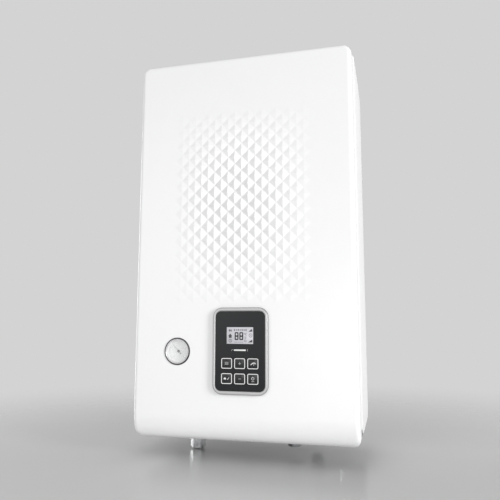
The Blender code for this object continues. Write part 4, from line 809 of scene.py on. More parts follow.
def front_cover():
    """The moulded cover: rolled edge and chin, relief, and the openings for panel and gauge."""
    opening = rounded(housing.width + 2 * GAP, housing.height + 2 * GAP, FACE_CORNER - HOUSING_MARGIN,
                      (0, housing.z))
    rim = Box("gauge_bezel")
    openings = [opening, circle((rim.x, rim.z), rim.width / 2 + 2 * GAP)]
    work = bmesh.new()
    outer, facets = cover_skin(work, 0.0, openings, relief=True)
    inner = cover_skin(work, COVER_WALL, openings)[0]
    for pair in zip(outer, inner):
        skin(work, pair)
    for face in work.faces:
        face.smooth = face not in facets
    for edge in work.edges:
        flat = any(face in facets for face in edge.link_faces)
        edge.smooth = not flat and edge.calc_face_angle(0) < COVER_CREASE
    bmesh.ops.recalc_face_normals(work, faces=work.faces)
    piece("cover_shell", as_mesh(work), "white_enamel", "front_cover", None, body="cover")


def lattice(across, up, spaces, y, depth):
    """Crossing ribs as one closed mesh, left out of the spaces given as (low X, high X, low Z, high Z)."""
    half = RIB_WALL / 2

    def cuts(lines, first):
        found = {line + side * half for line in lines for side in (-1, 1)}
        for space in spaces:
            found |= {space[first], space[first + 1]}
        return sorted(found)

    columns = cuts(across, 0)
    rows = cuts(up, 2)
    work = bmesh.new()
    corners = {}

    def corner(x, z):
        if (x, z) not in corners:
            corners[(x, z)] = vertex(work, (x, y, z))
        return corners[(x, z)]

    for left, right in zip(columns, columns[1:]):
        for low, high in zip(rows, rows[1:]):
            x = (left + right) / 2
            z = (low + high) / 2
            inside = across[0] - half < x < across[-1] + half and up[0] - half < z < up[-1] + half
            on_rib = any(abs(x - line) < half for line in across) or any(abs(z - line) < half for line in up)
            free = not any(space[0] < x < space[1] and space[2] < z < space[3] for space in spaces)
            if inside and on_rib and free:
                spots = ((left, low), (right, low), (right, high), (left, high))
                work.faces.new([corner(*spot) for spot in spots])
    return walled(as_mesh(work), depth)


def cover_fixings():
    """Guides that centre the cover in the casing's lip, tabs for its screws, and stiffening ribs."""
    parts = []
    for side, screw in screws.items():
        outer = side * (casing.right - CASING_LIP - GAP)
        inner = outer - side * GUIDE_THICKNESS
        wall = side * (cover.right - COVER_WALL + EMBED)
        outline = [(x, deep(depth)) for x, depth in (
            (inner, GUIDE_ROOT), (wall, GUIDE_ROOT), (wall, RIM_DEPTH - GAP), (outer, RIM_DEPTH - GAP),
            (outer, GUIDE_REACH), (inner, GUIDE_REACH))]
        for share in GUIDE_HEIGHT_SHARES:
            middle = above(cover.height * share)
            parts.append(prism(outline, middle - GUIDE_WIDTH / 2, middle + GUIDE_WIDTH / 2))
        root = CHIN_DEPTH + EMBED
        outline = [(screw.x + x, deep(root) + y) for x, y in rounded(
            TAB_WIDTH, TAB_REACH - root, TAB_CORNER, (0, (TAB_REACH - root) / 2), 4)]
        hole = circle((screw.x, screw.y), screw.width * SHANK_SHARE + GAP, 24)
        parts.append(prism(outline, above(TAB_TOP - TAB_THICKNESS), above(TAB_TOP), holes=[hole]))
    for number, mesh in enumerate(parts):
        fixing = softened(mesh, 0.25, 1)
        piece(f"cover_fixing_{number + 1}", fixing, "white_enamel", "front_cover", body="cover")
    spaces = [(box.left - gap, box.right + gap, box.bottom - gap, box.top + gap)
              for box, gap in ((housing, 3), (Box("gauge_case"), 4))]
    rows = [above(height) for height in RIB_ROWS]
    ribs = lattice(RIB_COLUMNS, rows, spaces, deep(COVER_WALL - 0.02), RIB_DEPTH)
    piece("cover_ribs", ribs, "white_enamel", "front_cover", body="cover")


def panel_outline(share, inset=0.0):
    """The panel frame's outline, from its outer edge (0) to its opening (1)."""
    across = bezel.width + share * (panel.width + 2 * GAP - bezel.width)
    up = bezel.height + share * (panel.height + 2 * GAP - bezel.height)
    radius = BEZEL_CORNER + share * (FACE_CORNER + GAP - BEZEL_CORNER)
    return rounded(across - 2 * inset, up - 2 * inset, radius - inset, (0, bezel.z), 12)


def banded(profile):
    """A closed band round the panel from (share, inset, Y) points."""
    rings = [[(x, y, z) for x, z in panel_outline(share, inset)] for share, inset, y in profile]
    return loft(rings, loop=True)


def control_panel():
    """The panel's painted-shade band, its silver frame, and its glass with holes for display, light and keys.
    """
    front = bezel.front
    seam = front + FRAME_SEAM
    # A near-black band round the frame's foot: painted shade for the gap and shadow under the frame.
    base = banded([(0, 0, bezel.back), (0, 0, seam), (0, 0.6, seam), (0, 0.6, bezel.back)])
    piece("panel_painted_shade_band", base, "black_plastic", "control_bezel", look="painted_shade_trim", body="cover")
    profile = [(0, 0.65, bezel.back), (0, 0.65, seam - 0.05), (0, 0.05, seam - 0.05)]
    for turn in (math.radians(15 * i) for i in range(1, 7)):
        profile.append((0, 0.05 + 1.7 * (1 - math.cos(turn)), seam - 1.85 * math.sin(turn)))
    profile += [(0.72, 0, front + 0.02), (0.80, 0, front + 0.12), (0.985, 0, front + 0.72), (1, 0, front + 1),
                (1, 0, bezel.back)]
    piece("panel_frame", banded(profile), "silver_trim", "control_bezel", 35, body="cover")
    holes = [rounded(box.width + 2 * GAP, box.height + 2 * GAP, 2 * GAP, (box.x, box.z), 3)
             for box in (Box("lcd_display"), Box("status_light"))]
    holes += [rounded(KEY_WIDTH + 2 * GAP, KEY_HEIGHT + 2 * GAP, KEY_CORNER + GAP, (box.x, box.z), 6)
              for box in map(Box, KEYS)]
    outline = rounded(panel.width, panel.height, FACE_CORNER, (0, panel.z))
    glass = softened(prism(outline, panel.front, panel.back, "Y", holes), 0.2)
    piece("panel_glass", glass, "dark_glass", "panel_face", 14, body="cover")


def key_symbols():
    """Plain shapes for the keys, in millimetres from their centres, and their print."""
    grill = [bar((x, -2.4), (x, 2.4), 0.75) for x in (-2.4, -0.8, 0.8, 2.4)]
    drops = [circle(spot, 0.42, 10) for spot in ((0.8, -1.2), (2.2, -1.2), (1.5, -2.6))]
    cloud = arc((-2.9, -0.2), 1.9, 200, 0, 14) + [(-1.0, -1.3), (-4.9, -1.3)]
    return {
        "key_heating": (grill + [bar((-3.2, z), (3.2, z), 0.5) for z in (-1.6, 1.6)], "dim_print"),
        "key_plus": ([bar((-2.2, 0), (2.2, 0), 0.8), bar((0, 0.4), (0, 2.2), 0.8),
                      bar((0, -2.2), (0, -0.4), 0.8)], "dim_print"),
        "key_hot_water": ([band_arc((1.6, -2.4), 4.4, 3.1, 35, 145), bar((-1.9, -0.1), (-3.4, -1.9), 1.3),
                           *drops], "key_print"),
        "key_mode": ([cloud, bar((0.6, -0.9), (1.7, -1.4), 0.8), bar((1.7, -1.4), (4.0, 1.5), 0.8)],
                     "key_print"),
        "key_minus": ([bar((-2.3, 0), (2.3, 0), 0.8)], "dim_print"),
        "key_power": ([band_arc((0, 0.9), 2.4, 1.75, 60, -240, 28), bar((0, 1.9), (0, 3.9), 0.7),
                       bar((-2.2, -3.8), (2.2, -3.8), 0.55)], "key_print")}


def key_caps():
    """Key caps with a printed outline and a plain symbol each."""
    symbols = key_symbols()
    for name, body in KEYS.items():
        box = Box(name)
        seat = box.back - KEY_FLANGE_THICKNESS

        def outline(inset, round_off=KEY_EDGE, width=KEY_WIDTH, height=KEY_HEIGHT):
            return rounded(width - 2 * inset, height - 2 * inset, KEY_CORNER - round_off, (box.x, box.z), 6)

        flange = outline(0, 0, box.width, box.height)
        levels = ((outline(KEY_EDGE), box.front), (outline(0.3 * KEY_EDGE, 0), box.front + 0.3 * KEY_EDGE),
                  (outline(0, 0), box.front + KEY_EDGE), (outline(0, 0), seat), (flange, seat),
                  (flange, box.back))
        cap = loft([[(x, y, z) for x, z in line] for line, y in levels], ends=True)
        piece(name + "_cap", cap, "key_black", name, body=body)
        band = raised_band(*(outline(inset, inset) for inset in (KEY_LINE_INSET, KEY_LINE_INSET + KEY_LINE)),
                           box.front)
        piece(name + "_outline", band, "key_black", None, None, "key_print", body)
        shapes, look = symbols[name]
        symbol = raised([[(box.x + x, box.z + z) for x, z in shape] for shape in shapes], box.front)
        piece(name + "_symbol", symbol, "key_black", None, None, look, body)


def digit_rings(x, z, width, height, stroke):
    """Outlines of an eight made of two rounded squares, as (outer, inner) from its lower left corner."""
    tall = (height + stroke) / 2
    for low in (z, z + (height - stroke) / 2):
        centre = (x + width / 2, low + tall / 2)
        yield (rounded(width, tall, stroke * 0.9, centre, 5),
               rounded(width - 2 * stroke, tall - 2 * stroke, stroke * 0.35, centre, 5))


def display():
    """The display's window with its printed segments, and the status light."""
    box = Box("lcd_display")
    window = block((box.left, box.front, box.bottom), (box.right, box.back, box.top), 0.15)
    piece("display_window", window, "display_grey", "lcd_display", body="cover")

    def within(shapes):
        return [[(box.left + x, box.top - z) for x, z in shape] for shape in shapes]

    dark = [[(37.2, 7.2), (43.0, 2.6), (43.6, 7.2)], [(36.2, 24.6), (43.4, 19.8), (43.4, 24.6)],
            [(2.6, 14.2), (6.0, 10.6), (9.4, 14.2)], [(3.6, 14.3), (8.4, 14.3), (8.4, 17.4), (3.6, 17.4)]]
    figures = [raised(within(dark), box.front)]
    for x in (13.6, 21.6):
        figures += [raised_band(*within(rings), box.front) for rings in digit_rings(x, 8.0, 6.6, 13.0, 2.0)]
    piece("display_digits", gather(*figures), "display_grey", None, None, "display_dark", "cover")
    mid = [bar((12.2 + 3.3 * i, 4.6), (14.0 + 3.3 * i, 4.6), 2.2 if i % 2 else 3.1) for i in range(7)]
    mid += [bar((13.0 + 3.1 * i, 24.3), (15.2 + 3.1 * i, 24.3), 0.7) for i in range(5)]
    mid += [circle((5.2, 5.4), 1.9, 16), bar((8.2, 3.8), (8.2, 7.2), 1.4),
            band_arc((6.2, 22.0), 2.9, 2.0, 0, 350, 24), bar((6.2, 22.0), (6.2, 20.2), 0.6),
            bar((6.2, 22.0), (7.5, 22.6), 0.6),
            band_arc((40.6, 13.4), 3.2, 2.2, 0, 350, 24), bar((39.4, 13.4), (41.8, 13.4), 0.8),
            band_arc((30.4, 10.8), 1.0, 0.5, 0, 350, 14), band_arc((33.0, 11.6), 1.7, 1.0, 50, 310, 16),
            bar((30.0, 16.0), (33.6, 16.0), 0.9), bar((30.4, 19.0), (33.0, 17.6), 0.8),
            band_arc((31.8, 22.2), 1.9, 1.2, 0, 350, 18)]
    piece("display_marks", raised(within(mid), box.front), "display_grey", None, None, "display_mid", "cover")
    light = Box("status_light")
    lens = block((light.left, light.front, light.bottom), (light.right, light.back, light.top), 0.2)
    piece("light_bar", lens, "display_grey", "status_light", look="light_lens", body="cover")
    bend = (light.left - 2.4, light.z + 1.2)
    marks = [bar((light.left - 4.4, light.z - 1.3), bend, 0.5),
             bar(bend, (light.left - 1.5, light.z + 0.4), 0.5),
             bar((light.right + 2.9, light.z - 1.8), (light.right + 2.9, light.z + 1.8), 0.7)]
    piece("light_marks", raised(marks, panel.front), "dark_glass", None, None, "dim_print", "cover")


def gauge():
    """The gauge: rings, lens, dial with its scale and figures, case and needle; heights lead forward."""
    rim = Box("gauge_bezel")
    lens = Box("gauge_lens")
    dial = Box("gauge_dial")
    case = Box("gauge_case")
    centre = (rim.x, FRONT, rim.z)

    def turned(name, profile, slot, node, steps=96, ring=False, **rest):
        piece(name, lathe(profile, centre, FORWARD, steps, ring), slot, node, **rest)

    front = FRONT - rim.front
    back = FRONT - rim.back
    outer = rim.width / 2
    # The outermost ring is near-black: painted gap shade and painted dark chrome reflection round the rim.
    dark = outer - GAUGE_PAINTED_SHADE_RING
    profile = [(dark, front - 0.1), (dark + 0.2, front), (outer - 0.4, front - 0.1),
               (outer - 0.1, front - 0.4), (outer, front - 0.8), (outer, back), (dark, back)]
    turned("gauge_painted_shade_ring", profile, "gauge_steel", "gauge_bezel", 128, True, look="painted_rim_shade")
    edge = dark - 0.02
    inner = GAUGE_RIM_INNER
    seat = lens.width / 2 + GAP
    top = FRONT - lens.front
    step = top + GAP
    profile = [(edge, front - 0.15), (edge, back), (seat, back), (seat, step), (inner, step),
               (inner, front - 1), (inner + 0.3, front - 0.6), (edge - 0.4, front - 0.1)]
    turned("gauge_rim", profile, "gauge_steel", "gauge_bezel", 128, True)
    radius = lens.width / 2
    low = top - lens.depth
    profile = [(0, top), (0.6 * radius, top - 0.04), (0.9 * radius, top - 0.1), (radius, top - 0.2),
               (radius, low), (0, low)]
    turned("gauge_glass", profile, "lens_glass", "gauge_lens")
    face = FRONT - dial.front
    edge = dial.width / 2
    profile = [(1.1, face), (edge - 0.1, face), (edge, face - 0.1), (edge, face - 0.8), (1.1, face - 0.8)]
    turned("gauge_plate", profile, "gauge_face", "gauge_dial", ring=True)
    mouth = FRONT - lens.back - GAP
    profile = [(edge - 0.7, face + 0.3), (edge + 0.1, face + 0.3), (edge + 0.1, mouth), (edge - 0.3, mouth)]
    turned("gauge_liner", profile, "gauge_face", "gauge_dial", ring=True)
    middle = Vector((rim.x, rim.z))

    def spoke(share):
        angle = math.radians(GAUGE_START - (GAUGE_START - GAUGE_END) * share)
        return Vector((math.cos(angle), math.sin(angle)))

    shapes = []
    for i in range(GAUGE_DIVISIONS + 1):
        way = spoke(i / GAUGE_DIVISIONS)
        length, width = (1.5, 0.25) if i % (GAUGE_DIVISIONS // GAUGE_FIGURES) else (2.6, 0.5)
        shapes.append(bar(middle + way * GAUGE_SCALE, middle + way * (GAUGE_SCALE - length), width))
    shapes.append(band_arc(middle, GAUGE_SCALE + 0.5, GAUGE_SCALE + 0.2, GAUGE_START, GAUGE_END, 60))
    figures = []
    for i in range(GAUGE_FIGURES + 1):
        spot = middle + spoke(i / GAUGE_FIGURES) * GAUGE_FIGURE_RADIUS
        figures.append(lettering(str(i), GAUGE_FIGURE_SIZE, spot, dial.front))
    scale = gather(raised(shapes, dial.front), *figures)
    piece("gauge_scale", scale, "gauge_face", None, None, "gauge_print")
    outer = case.width / 2
    bore = outer - GAUGE_CASE_WALL
    mouth = FRONT - case.front
    bottom = -GAUGE_CASE_DEPTH
    tail = FRONT - case.back
    profile = [(0, bottom + 1.2), (bore, bottom + 1.2), (bore, mouth), (outer, mouth), (outer, bottom + 2),
               (outer - 0.6, bottom + 0.6), (outer - 2, bottom), (7, bottom), (6, bottom - 1.5),
               (4, bottom - 2), (4, tail + 0.4), (3.6, tail), (0, tail)]
    turned("gauge_housing", profile, "black_plastic", "gauge_case")
    back = face + 2 * GAP
    blade = [(15.0, -0.18), (15.0, 0.18), (0, 0.65), (-3.5, 0.8), (-4.2, 1.5), (-6.5, 1.5), (-6.5, -1.5),
             (-4.2, -1.5), (-3.5, -0.8), (0, -0.65)]
    outline = [middle + Matrix.Rotation(NEEDLE_REST, 2) @ Vector(point) for point in blade]
    pointer = softened(prism(outline, deep(-back) - 0.6, deep(-back), "Y"), 0.1, 1)
    piece("needle_blade", pointer, "black_plastic", "gauge_needle", look="needle_paint", body="needle")
    low = FRONT - dial.back
    profile = [(0, back + 2.6), (1, back + 2.6), (1.5, back + 2.1), (1.6, back + 0.6), (2.3, back + 0.6),
               (2.3, back), (0.8, back), (0.8, low), (0, low)]
    turned("needle_hub", profile, "black_plastic", "gauge_needle", 32, body="needle")


def casing_shell():
    """The steel casing: sides, roof and a lip round the front, its lower corners cut round."""
    def outline(inset, y):
        corner = max(CASING_CORNER, inset + GAP)
        radius = max(CASING_CORNER - inset, GAP)
        right = [(casing.right - inset, casing.bottom - CLEAR)]
        right += arc((casing.right - corner, casing.top - corner), radius, 0, 90, CORNER_STEPS)
        return [(x, y, z) for x, z in right + [(-x, z) for x, z in reversed(right)]]

    rings = [outline(0.0, casing.back)]
    for turn in (math.radians(22.5 * i) for i in range(5)):
        inset = CASING_FOLD * (1 - math.cos(turn))
        rings.append(outline(inset, casing.front + CASING_FOLD * (1 - math.sin(turn))))
    rings.append(outline(CASING_LIP, casing.front))
    shell = walled(loft(rings, closed=False), CASING_WALL)
    far = 10
    edge = []
    for middle, radius, start in ((casing.front + CASING_FRONT_ROUND, CASING_FRONT_ROUND, 180),
                                  (casing.back - CASING_REAR_ROUND, CASING_REAR_ROUND, 270)):
        edge += arc((middle, casing.bottom + radius), radius, start, start + 90, 16)
    edge += [(far, edge[-1][1]), (far, casing.bottom - far), (casing.front - far, casing.bottom - far),
             (casing.front - far, edge[0][1])]
    shell = carved(shell, prism(edge, -casing.right - far, casing.right + far, "X"))
    piece("casing_shell", shell, "white_enamel", "casing", 40, "casing_enamel")


def tray_shell():
    """The tray under the casing, with ears, screw slots and holes for the pipes."""
    inner = cover.right - TRAY_INSET
    outline = rounded(2 * inner, tray.depth, TRAY_CORNER, (0, tray.y), 8)
    liner = rounded(2 * (inner - TRAY_WALL), tray.depth - 2 * TRAY_WALL, TRAY_CORNER - TRAY_WALL,
                    (0, tray.y), 8)
    holes = [circle((x, y), radius + GAP, 48) for x, y, radius in PASSAGES.values()]
    floor_top = tray.bottom + TRAY_WALL
    for name, mesh, edge, steps, angle in (
            ("tray_floor", prism(outline, tray.bottom, floor_top, holes=holes), 0.3, 2, 16),
            ("tray_walls", prism(outline, floor_top - 0.1, tray.top, holes=[liner]), 0.2, 1, 30)):
        slots = []
        for screw in screws.values():
            slot = [(screw.x - SLOT_WIDTH / 2, tray.front - CLEAR)]
            slot += arc((screw.x, screw.y), SLOT_WIDTH / 2, 180, 0, 12)
            slot += [(screw.x + SLOT_WIDTH / 2, tray.front - CLEAR)]
            slots.append(prism(slot, tray.bottom - CLEAR, tray.bottom + SLOT_HEIGHT))
        piece(name, softened(carved(mesh, *slots), edge, steps), "grey_enamel", "bottom_tray", angle)
    ears = []
    for side in (-1, 1):
        ends = sorted((side * (inner - 0.2), side * (casing.right - CASING_WALL - GAP)))
        for y in (tray.front + tray.depth * share for share in TRAY_EAR_SHARES):
            ears.append(block((ends[0], y - TRAY_EAR, tray.top - TRAY_EAR),
                              (ends[1], y + TRAY_EAR, tray.top), 0.3))
    piece("tray_ears", gather(*ears), "grey_enamel", "bottom_tray")


def supply_valve():
    """The supply valve's end and its lever."""
    valve = Box("supply_valve")
    axis = (valve.x, PIPE_Y, 0)
    top = valve.top
    end = valve.bottom
    low = end + 18
    body = [(7.2, top), (11.6, top), (12.2, top - 0.6), (12.2, top - 3), (11.2, top - 3.8), (11.2, low + 4.4),
            (12.2, low + 3.4), (12.2, low + 0.02), (7.2, low + 0.02)]
    piece("supply_valve_body", lathe(body, axis, ring=True), "chrome", "supply_valve")
    nut = softened(hexagon(14, end + 2.6, low, axis, 7.2, turn=SUPPLY_NUT_TURN), 0.15, 1, 35)
    piece("supply_valve_nut", nut, "chrome", "supply_valve", 25)
    foot = [(7.2, end + 2.6), (10.6, end + 2.6), (10.6, end + 0.4), (10.2, end), (7.2, end)]
    piece("supply_valve_collar", lathe(foot, axis, ring=True), "chrome", "supply_valve")
    lever = Box("supply_lever")
    hub = (valve.x, PIPE_Y, lever.z)
    reach = valve.back - PIPE_Y
    boss = [(2.3, reach), (4.7, reach), (5.5, reach - 0.8), (5.5, 11.4), (2.3, 11.4)]
    piece("supply_valve_boss", lathe(boss, hub, BACKWARD, 48, ring=True), "chrome", "supply_valve")
    outline = arc((valve.x, lever.z), 5, -128, 128, 20) + arc((lever.left + 3.4, lever.z), 3.4, 90, 270, 12)
    blade = softened(prism(outline, valve.back + GAP, lever.back, "Y"), 0.6, 3)
    piece("lever_blade", blade, "chrome", "supply_lever", body="supply_handle")
    seat = reach + GAP + 0.3
    start = lever.front - PIPE_Y
    stem = lathe([(0, seat), (2, seat), (2, start), (0, start)], hub, BACKWARD, 24)
    piece("lever_stem", stem, "chrome", "supply_lever", body="supply_handle")


def fittings():
    """What hangs below the tray: valve ends, nuts, pipe ends, knob, lever and gland."""
    supply_valve()
    nut = Box("return_nut")
    pipe = Box("return_pipe")
    axis = (RETURN_X, PIPE_Y, 0)
    mesh = hexagon(11.8, nut.bottom, nut.top, axis, 9.3, 0.9, RETURN_NUT_TURN)
    piece("return_hexagon", softened(mesh, 0.12, 1, 35), "chrome", "return_nut", 25)
    tube = [(8, pipe.top), (9, pipe.top), (9, pipe.bottom + 0.5), (8.5, pipe.bottom), (8, pipe.bottom)]
    piece("return_tube", lathe(tube, axis, ring=True), "chrome", "return_pipe")
    knob = Box("fill_knob")
    axis = (FILL_X, PIPE_Y, 0)
    low = knob.bottom
    top = Box("fill_valve").bottom - GAP
    star = softened(prism(waved(axis, 11.75, 3.25, 5), low, top), 1.2, 3)
    piece("fill_star", star, "black_plastic", "fill_knob", body="fill_handle")
    stem = [(0, knob.top), (3, knob.top), (3, top - 0.3), (0, top - 0.3)]
    piece("fill_stem", lathe(stem, axis, steps=32), "black_plastic", "fill_knob", body="fill_handle")
    cap = [(0, low + 0.2), (4.2, low + 0.2), (4.2, low - 0.02), (3.6, low - 0.25), (0, low - 0.3)]
    piece("fill_cap", lathe(cap, axis, steps=32), "stainless", "fill_knob", body="fill_handle")
    axis = (gland.x, gland.y, 0)
    low = gland.bottom
    seat = above(TRAY_FLOOR - GAP)
    inner = 6.5
    profile = [(inner, gland.top)] + thread(9.5, 0.45, gland.top, seat, 1.5) + [(inner, seat)]
    piece("gland_thread", lathe(profile, axis, steps=64, ring=True), "black_plastic", "cable_gland")
    flats = softened(hexagon(13, seat - 7, seat, axis, inner, 1.0, 0.3), 0.15, 1, 35)
    piece("gland_hexagon", flats, "black_plastic", "cable_gland", 25)
    dome = [(inner, seat - 7), (12.4, seat - 7), (12.4, low + 9), (11.4, low + 5), (9.6, low + 2), (8, low),
            (inner, low)]
    piece("gland_dome", lathe(dome, axis, steps=64, ring=True), "black_plastic", "cable_gland")


def grommets():
    """Rubber rings under the tray where bare pipes come through."""
    top = tray.bottom
    for name in ("fill", "inlet", "return", "relief"):
        x, y, radius = PASSAGES[name]
        inner = radius + 0.12
        outer = radius + (1.6 if name == "fill" else 3.2)
        profile = [(inner, top - 0.05), (outer, top - 0.05), (outer, top - 0.9), (outer - 0.8, top - 1.6),
                   (inner, top - 1.8)]
        piece(f"{name}_grommet", lathe(profile, (x, y, 0), steps=64, ring=True), "rubber_black")


def tank_flange(axis):
    """The tank's flange with its bolts, and the ends of the heating elements."""
    flange = Box("element_flange")
    legs = []
    for turn in (math.radians(90 + 120 * i) for i in range(3)):
        out = Vector((math.cos(turn), math.sin(turn)))
        legs += [tuple(Vector(axis[:2]) + out * 18 + Vector((-out.y, out.x)) * side) for side in (-11, 11)]
    holes = [circle(leg, 4.3, 24) for leg in legs]
    plate = softened(prism(circle(axis, 50), flange.bottom, flange.top, holes=holes), 0.4)
    piece("flange_plate", plate, "brass", "element_flange", 16)
    heads = [bolt((*spot, flange.top), UP, 4.6) for spot in arc(axis, 43, 22.5, 382.5, 8)[:-1]]
    piece("flange_bolts", gather(*heads), "zinc_steel", "element_flange", 20)
    nut = [(hexagonal(6.6), 0), (hexagonal(6.6), 3.4), (hexagonal(5.8), 4)]
    nuts = [tower(nut, (*leg, flange.top)) for leg in legs]
    piece("element_nuts", gather(*nuts), "brass", "element_flange", 20)
    rise = Box("heating_element_1").top
    cap = [(0, 0.6), (4.4, 0.6), (5, 0), (5, -6), (4.4, -6.6), (0, -6.6)]
    stud = [(0, 0.4), *thread(1.9, 0.2, 0.4, 6.4, 0.8), (0, 6.4)]
    for name, profile, steps, slot, angle in (("element_insulators", cap, 32, "cream_plastic", 30),
                                              ("element_studs", stud, 24, "brass", 20)):
        ends = [lathe(profile, (*leg, rise), steps=steps) for leg in legs]
        piece(name, gather(*ends), slot, "heating_element_1", angle)
    return flange.top


def heat_exchanger():
    """The tank with its flange, element terminals, air vent and cut-out."""
    tank = Box("tank")
    axis = (SUPPLY_X, PIPE_Y, 0)
    bottom = tank.bottom
    top = tank.top
    seat = top - 5
    outer = oval((0, bottom + 20), TANK, 20, -90, 0)
    for weld in (bottom + 24, seat - 27):
        outer += [(TANK, weld), (TANK + 0.5, weld + 1), (TANK + 0.5, weld + 2.4), (TANK, weld + 3.4)]
    outer += oval((40, seat - 20), 15, 20, 0, 90)
    outer += [(49.5, seat), (50, seat + 0.5), (50, top - 0.5), (49.5, top)]
    inner = [(38.5, top)] + oval((38.5, seat - 21.5), 15, 20, 90, 0)
    inner += oval((0, bottom + 20), 53.5, 18.5, 0, -90)
    piece("tank_shell", lathe(outer + inner, axis), "stainless", "tank")
    vent = tank_flange(axis) + 0.3
    body = [(0, 0), (7.2, 0), (7.2, 6), (10.5, 9), (12, 13), (12, 33), (10.5, 37), (8, 40), (4.5, 40),
            (4.5, 46), (0, 46)]
    piece("air_vent_body", lathe(body, (SUPPLY_X, PIPE_Y, vent), steps=64), "brass", "air_vent")
    cap = Box("air_vent_cap")
    roof = vent + 46.3
    skirt = prism(waved(axis, 6.3, 0.2, 20), cap.bottom, roof + 0.3, holes=[circle(axis, 4.8, 48)])
    piece("vent_cap_skirt", skirt, "black_plastic", "air_vent_cap", 35, body="vent_cap")
    lid = [(0, roof), (6.2, roof), (6.2, cap.top - 0.5), (5.6, cap.top), (0, cap.top)]
    piece("vent_cap_lid", lathe(lid, axis, steps=48), "black_plastic", "air_vent_cap", body="vent_cap")
    cutout = Box("thermal_cutout")
    button = [(0, 0), (8.5, 0), (8.5, 2.6), (8.1, 3), (6.6, 3.2), (6.6, 7.2), (6, 7.8), (0, 7.8)]
    body = lathe(button, (cutout.left, PIPE_Y, cutout.z), (1, 0, 0), 48)
    piece("cutout_body", body, "black_plastic", "thermal_cutout")
    blades = [around((cutout.right - 1.5, PIPE_Y + side, cutout.z), (3, 0.8, 5), 0.15) for side in (-3, 3)]
    piece("cutout_blades", gather(*blades), "zinc_steel", "thermal_cutout")


def straps():
    """Two straps round the tank with their bolts."""
    inner = TANK + 0.3
    outer = TANK + 1.8
    for name in ("strap_lower", "strap_upper"):
        box = Box("tank_" + name)
        foot = box.back
        front = foot - 1.5
        tab = box.right - SUPPLY_X
        half = arc((0, PIPE_Y), outer, 180, 360, 64)
        half += [(outer, front), (tab, front), (tab, foot), (inner, foot)]
        half += arc((0, PIPE_Y), inner, 360, 180, 64)
        half += [(-inner, foot), (-tab, foot), (-tab, front), (-outer, front)]
        line = [(SUPPLY_X + x, y) for x, y in half]
        band = softened(prism(line, box.bottom, box.top), 0.3, 1)
        piece(name + "_band", band, "zinc_steel", "tank_" + name, 35)
        heads = [bolt((SUPPLY_X + side * (outer + tab) / 2, front, box.z), FORWARD, 3.6) for side in (-1, 1)]
        piece(name + "_bolts", gather(*heads), "zinc_steel", "tank_" + name, 20)


def expansion_vessel():
    """Two dished halves with a folded rim, and a filling valve."""
    box = Box("vessel_front_half")
    radius = box.width / 2
    centre = (box.x, box.back, box.z)

    def half(way, edge, boss):
        outer = [(radius, edge)] + [(r, way * h) for r, h in oval((radius - 35, 12), 35, 21, 0, 90, 14)]
        outer += [(15, way * 33), (15, way * boss), (0, way * boss)] if boss else [(0, way * 33)]
        inner = [(0, way * 31.8)] + [(r, way * h) for r, h in oval((radius - 35, 12), 33.8, 19.8, 90, 0, 14)]
        return lathe(outer + inner + [(radius - 1.2, edge)], centre, FORWARD, 128, ring=True)

    piece("vessel_front_dish", half(1, 0, 0), "red_enamel", "vessel_front_half")
    boss = Box("vessel_rear_half").back - box.back
    piece("vessel_rear_dish", half(-1, -0.3, boss), "red_enamel", "vessel_rear_half")
    rim = [(radius - 0.4, -4), (radius + 1, -4), (radius + 1.5, -3.2), (radius + 1.5, 3.2), (radius + 1, 4),
           (radius - 0.4, 4)]
    piece("vessel_rim", lathe(rim, centre, FORWARD, 128, ring=True), "red_enamel", "vessel_front_half")
    stem = [(0, 32.4), (7, 32.4), (7, 34), (3.9, 34.6), (3.9, 38), (0, 38)]
    piece("vessel_valve", lathe(stem, centre, FORWARD, 32), "brass", "vessel_front_half")
    cap = [(0, 37.8), *thread(4.8, 0.3, 37.8, 42.6, 0.6), (4, 43.2), (0, 43.2)]
    piece("vessel_valve_cap", lathe(cap, centre, FORWARD, 32), "black_plastic", "vessel_front_half")


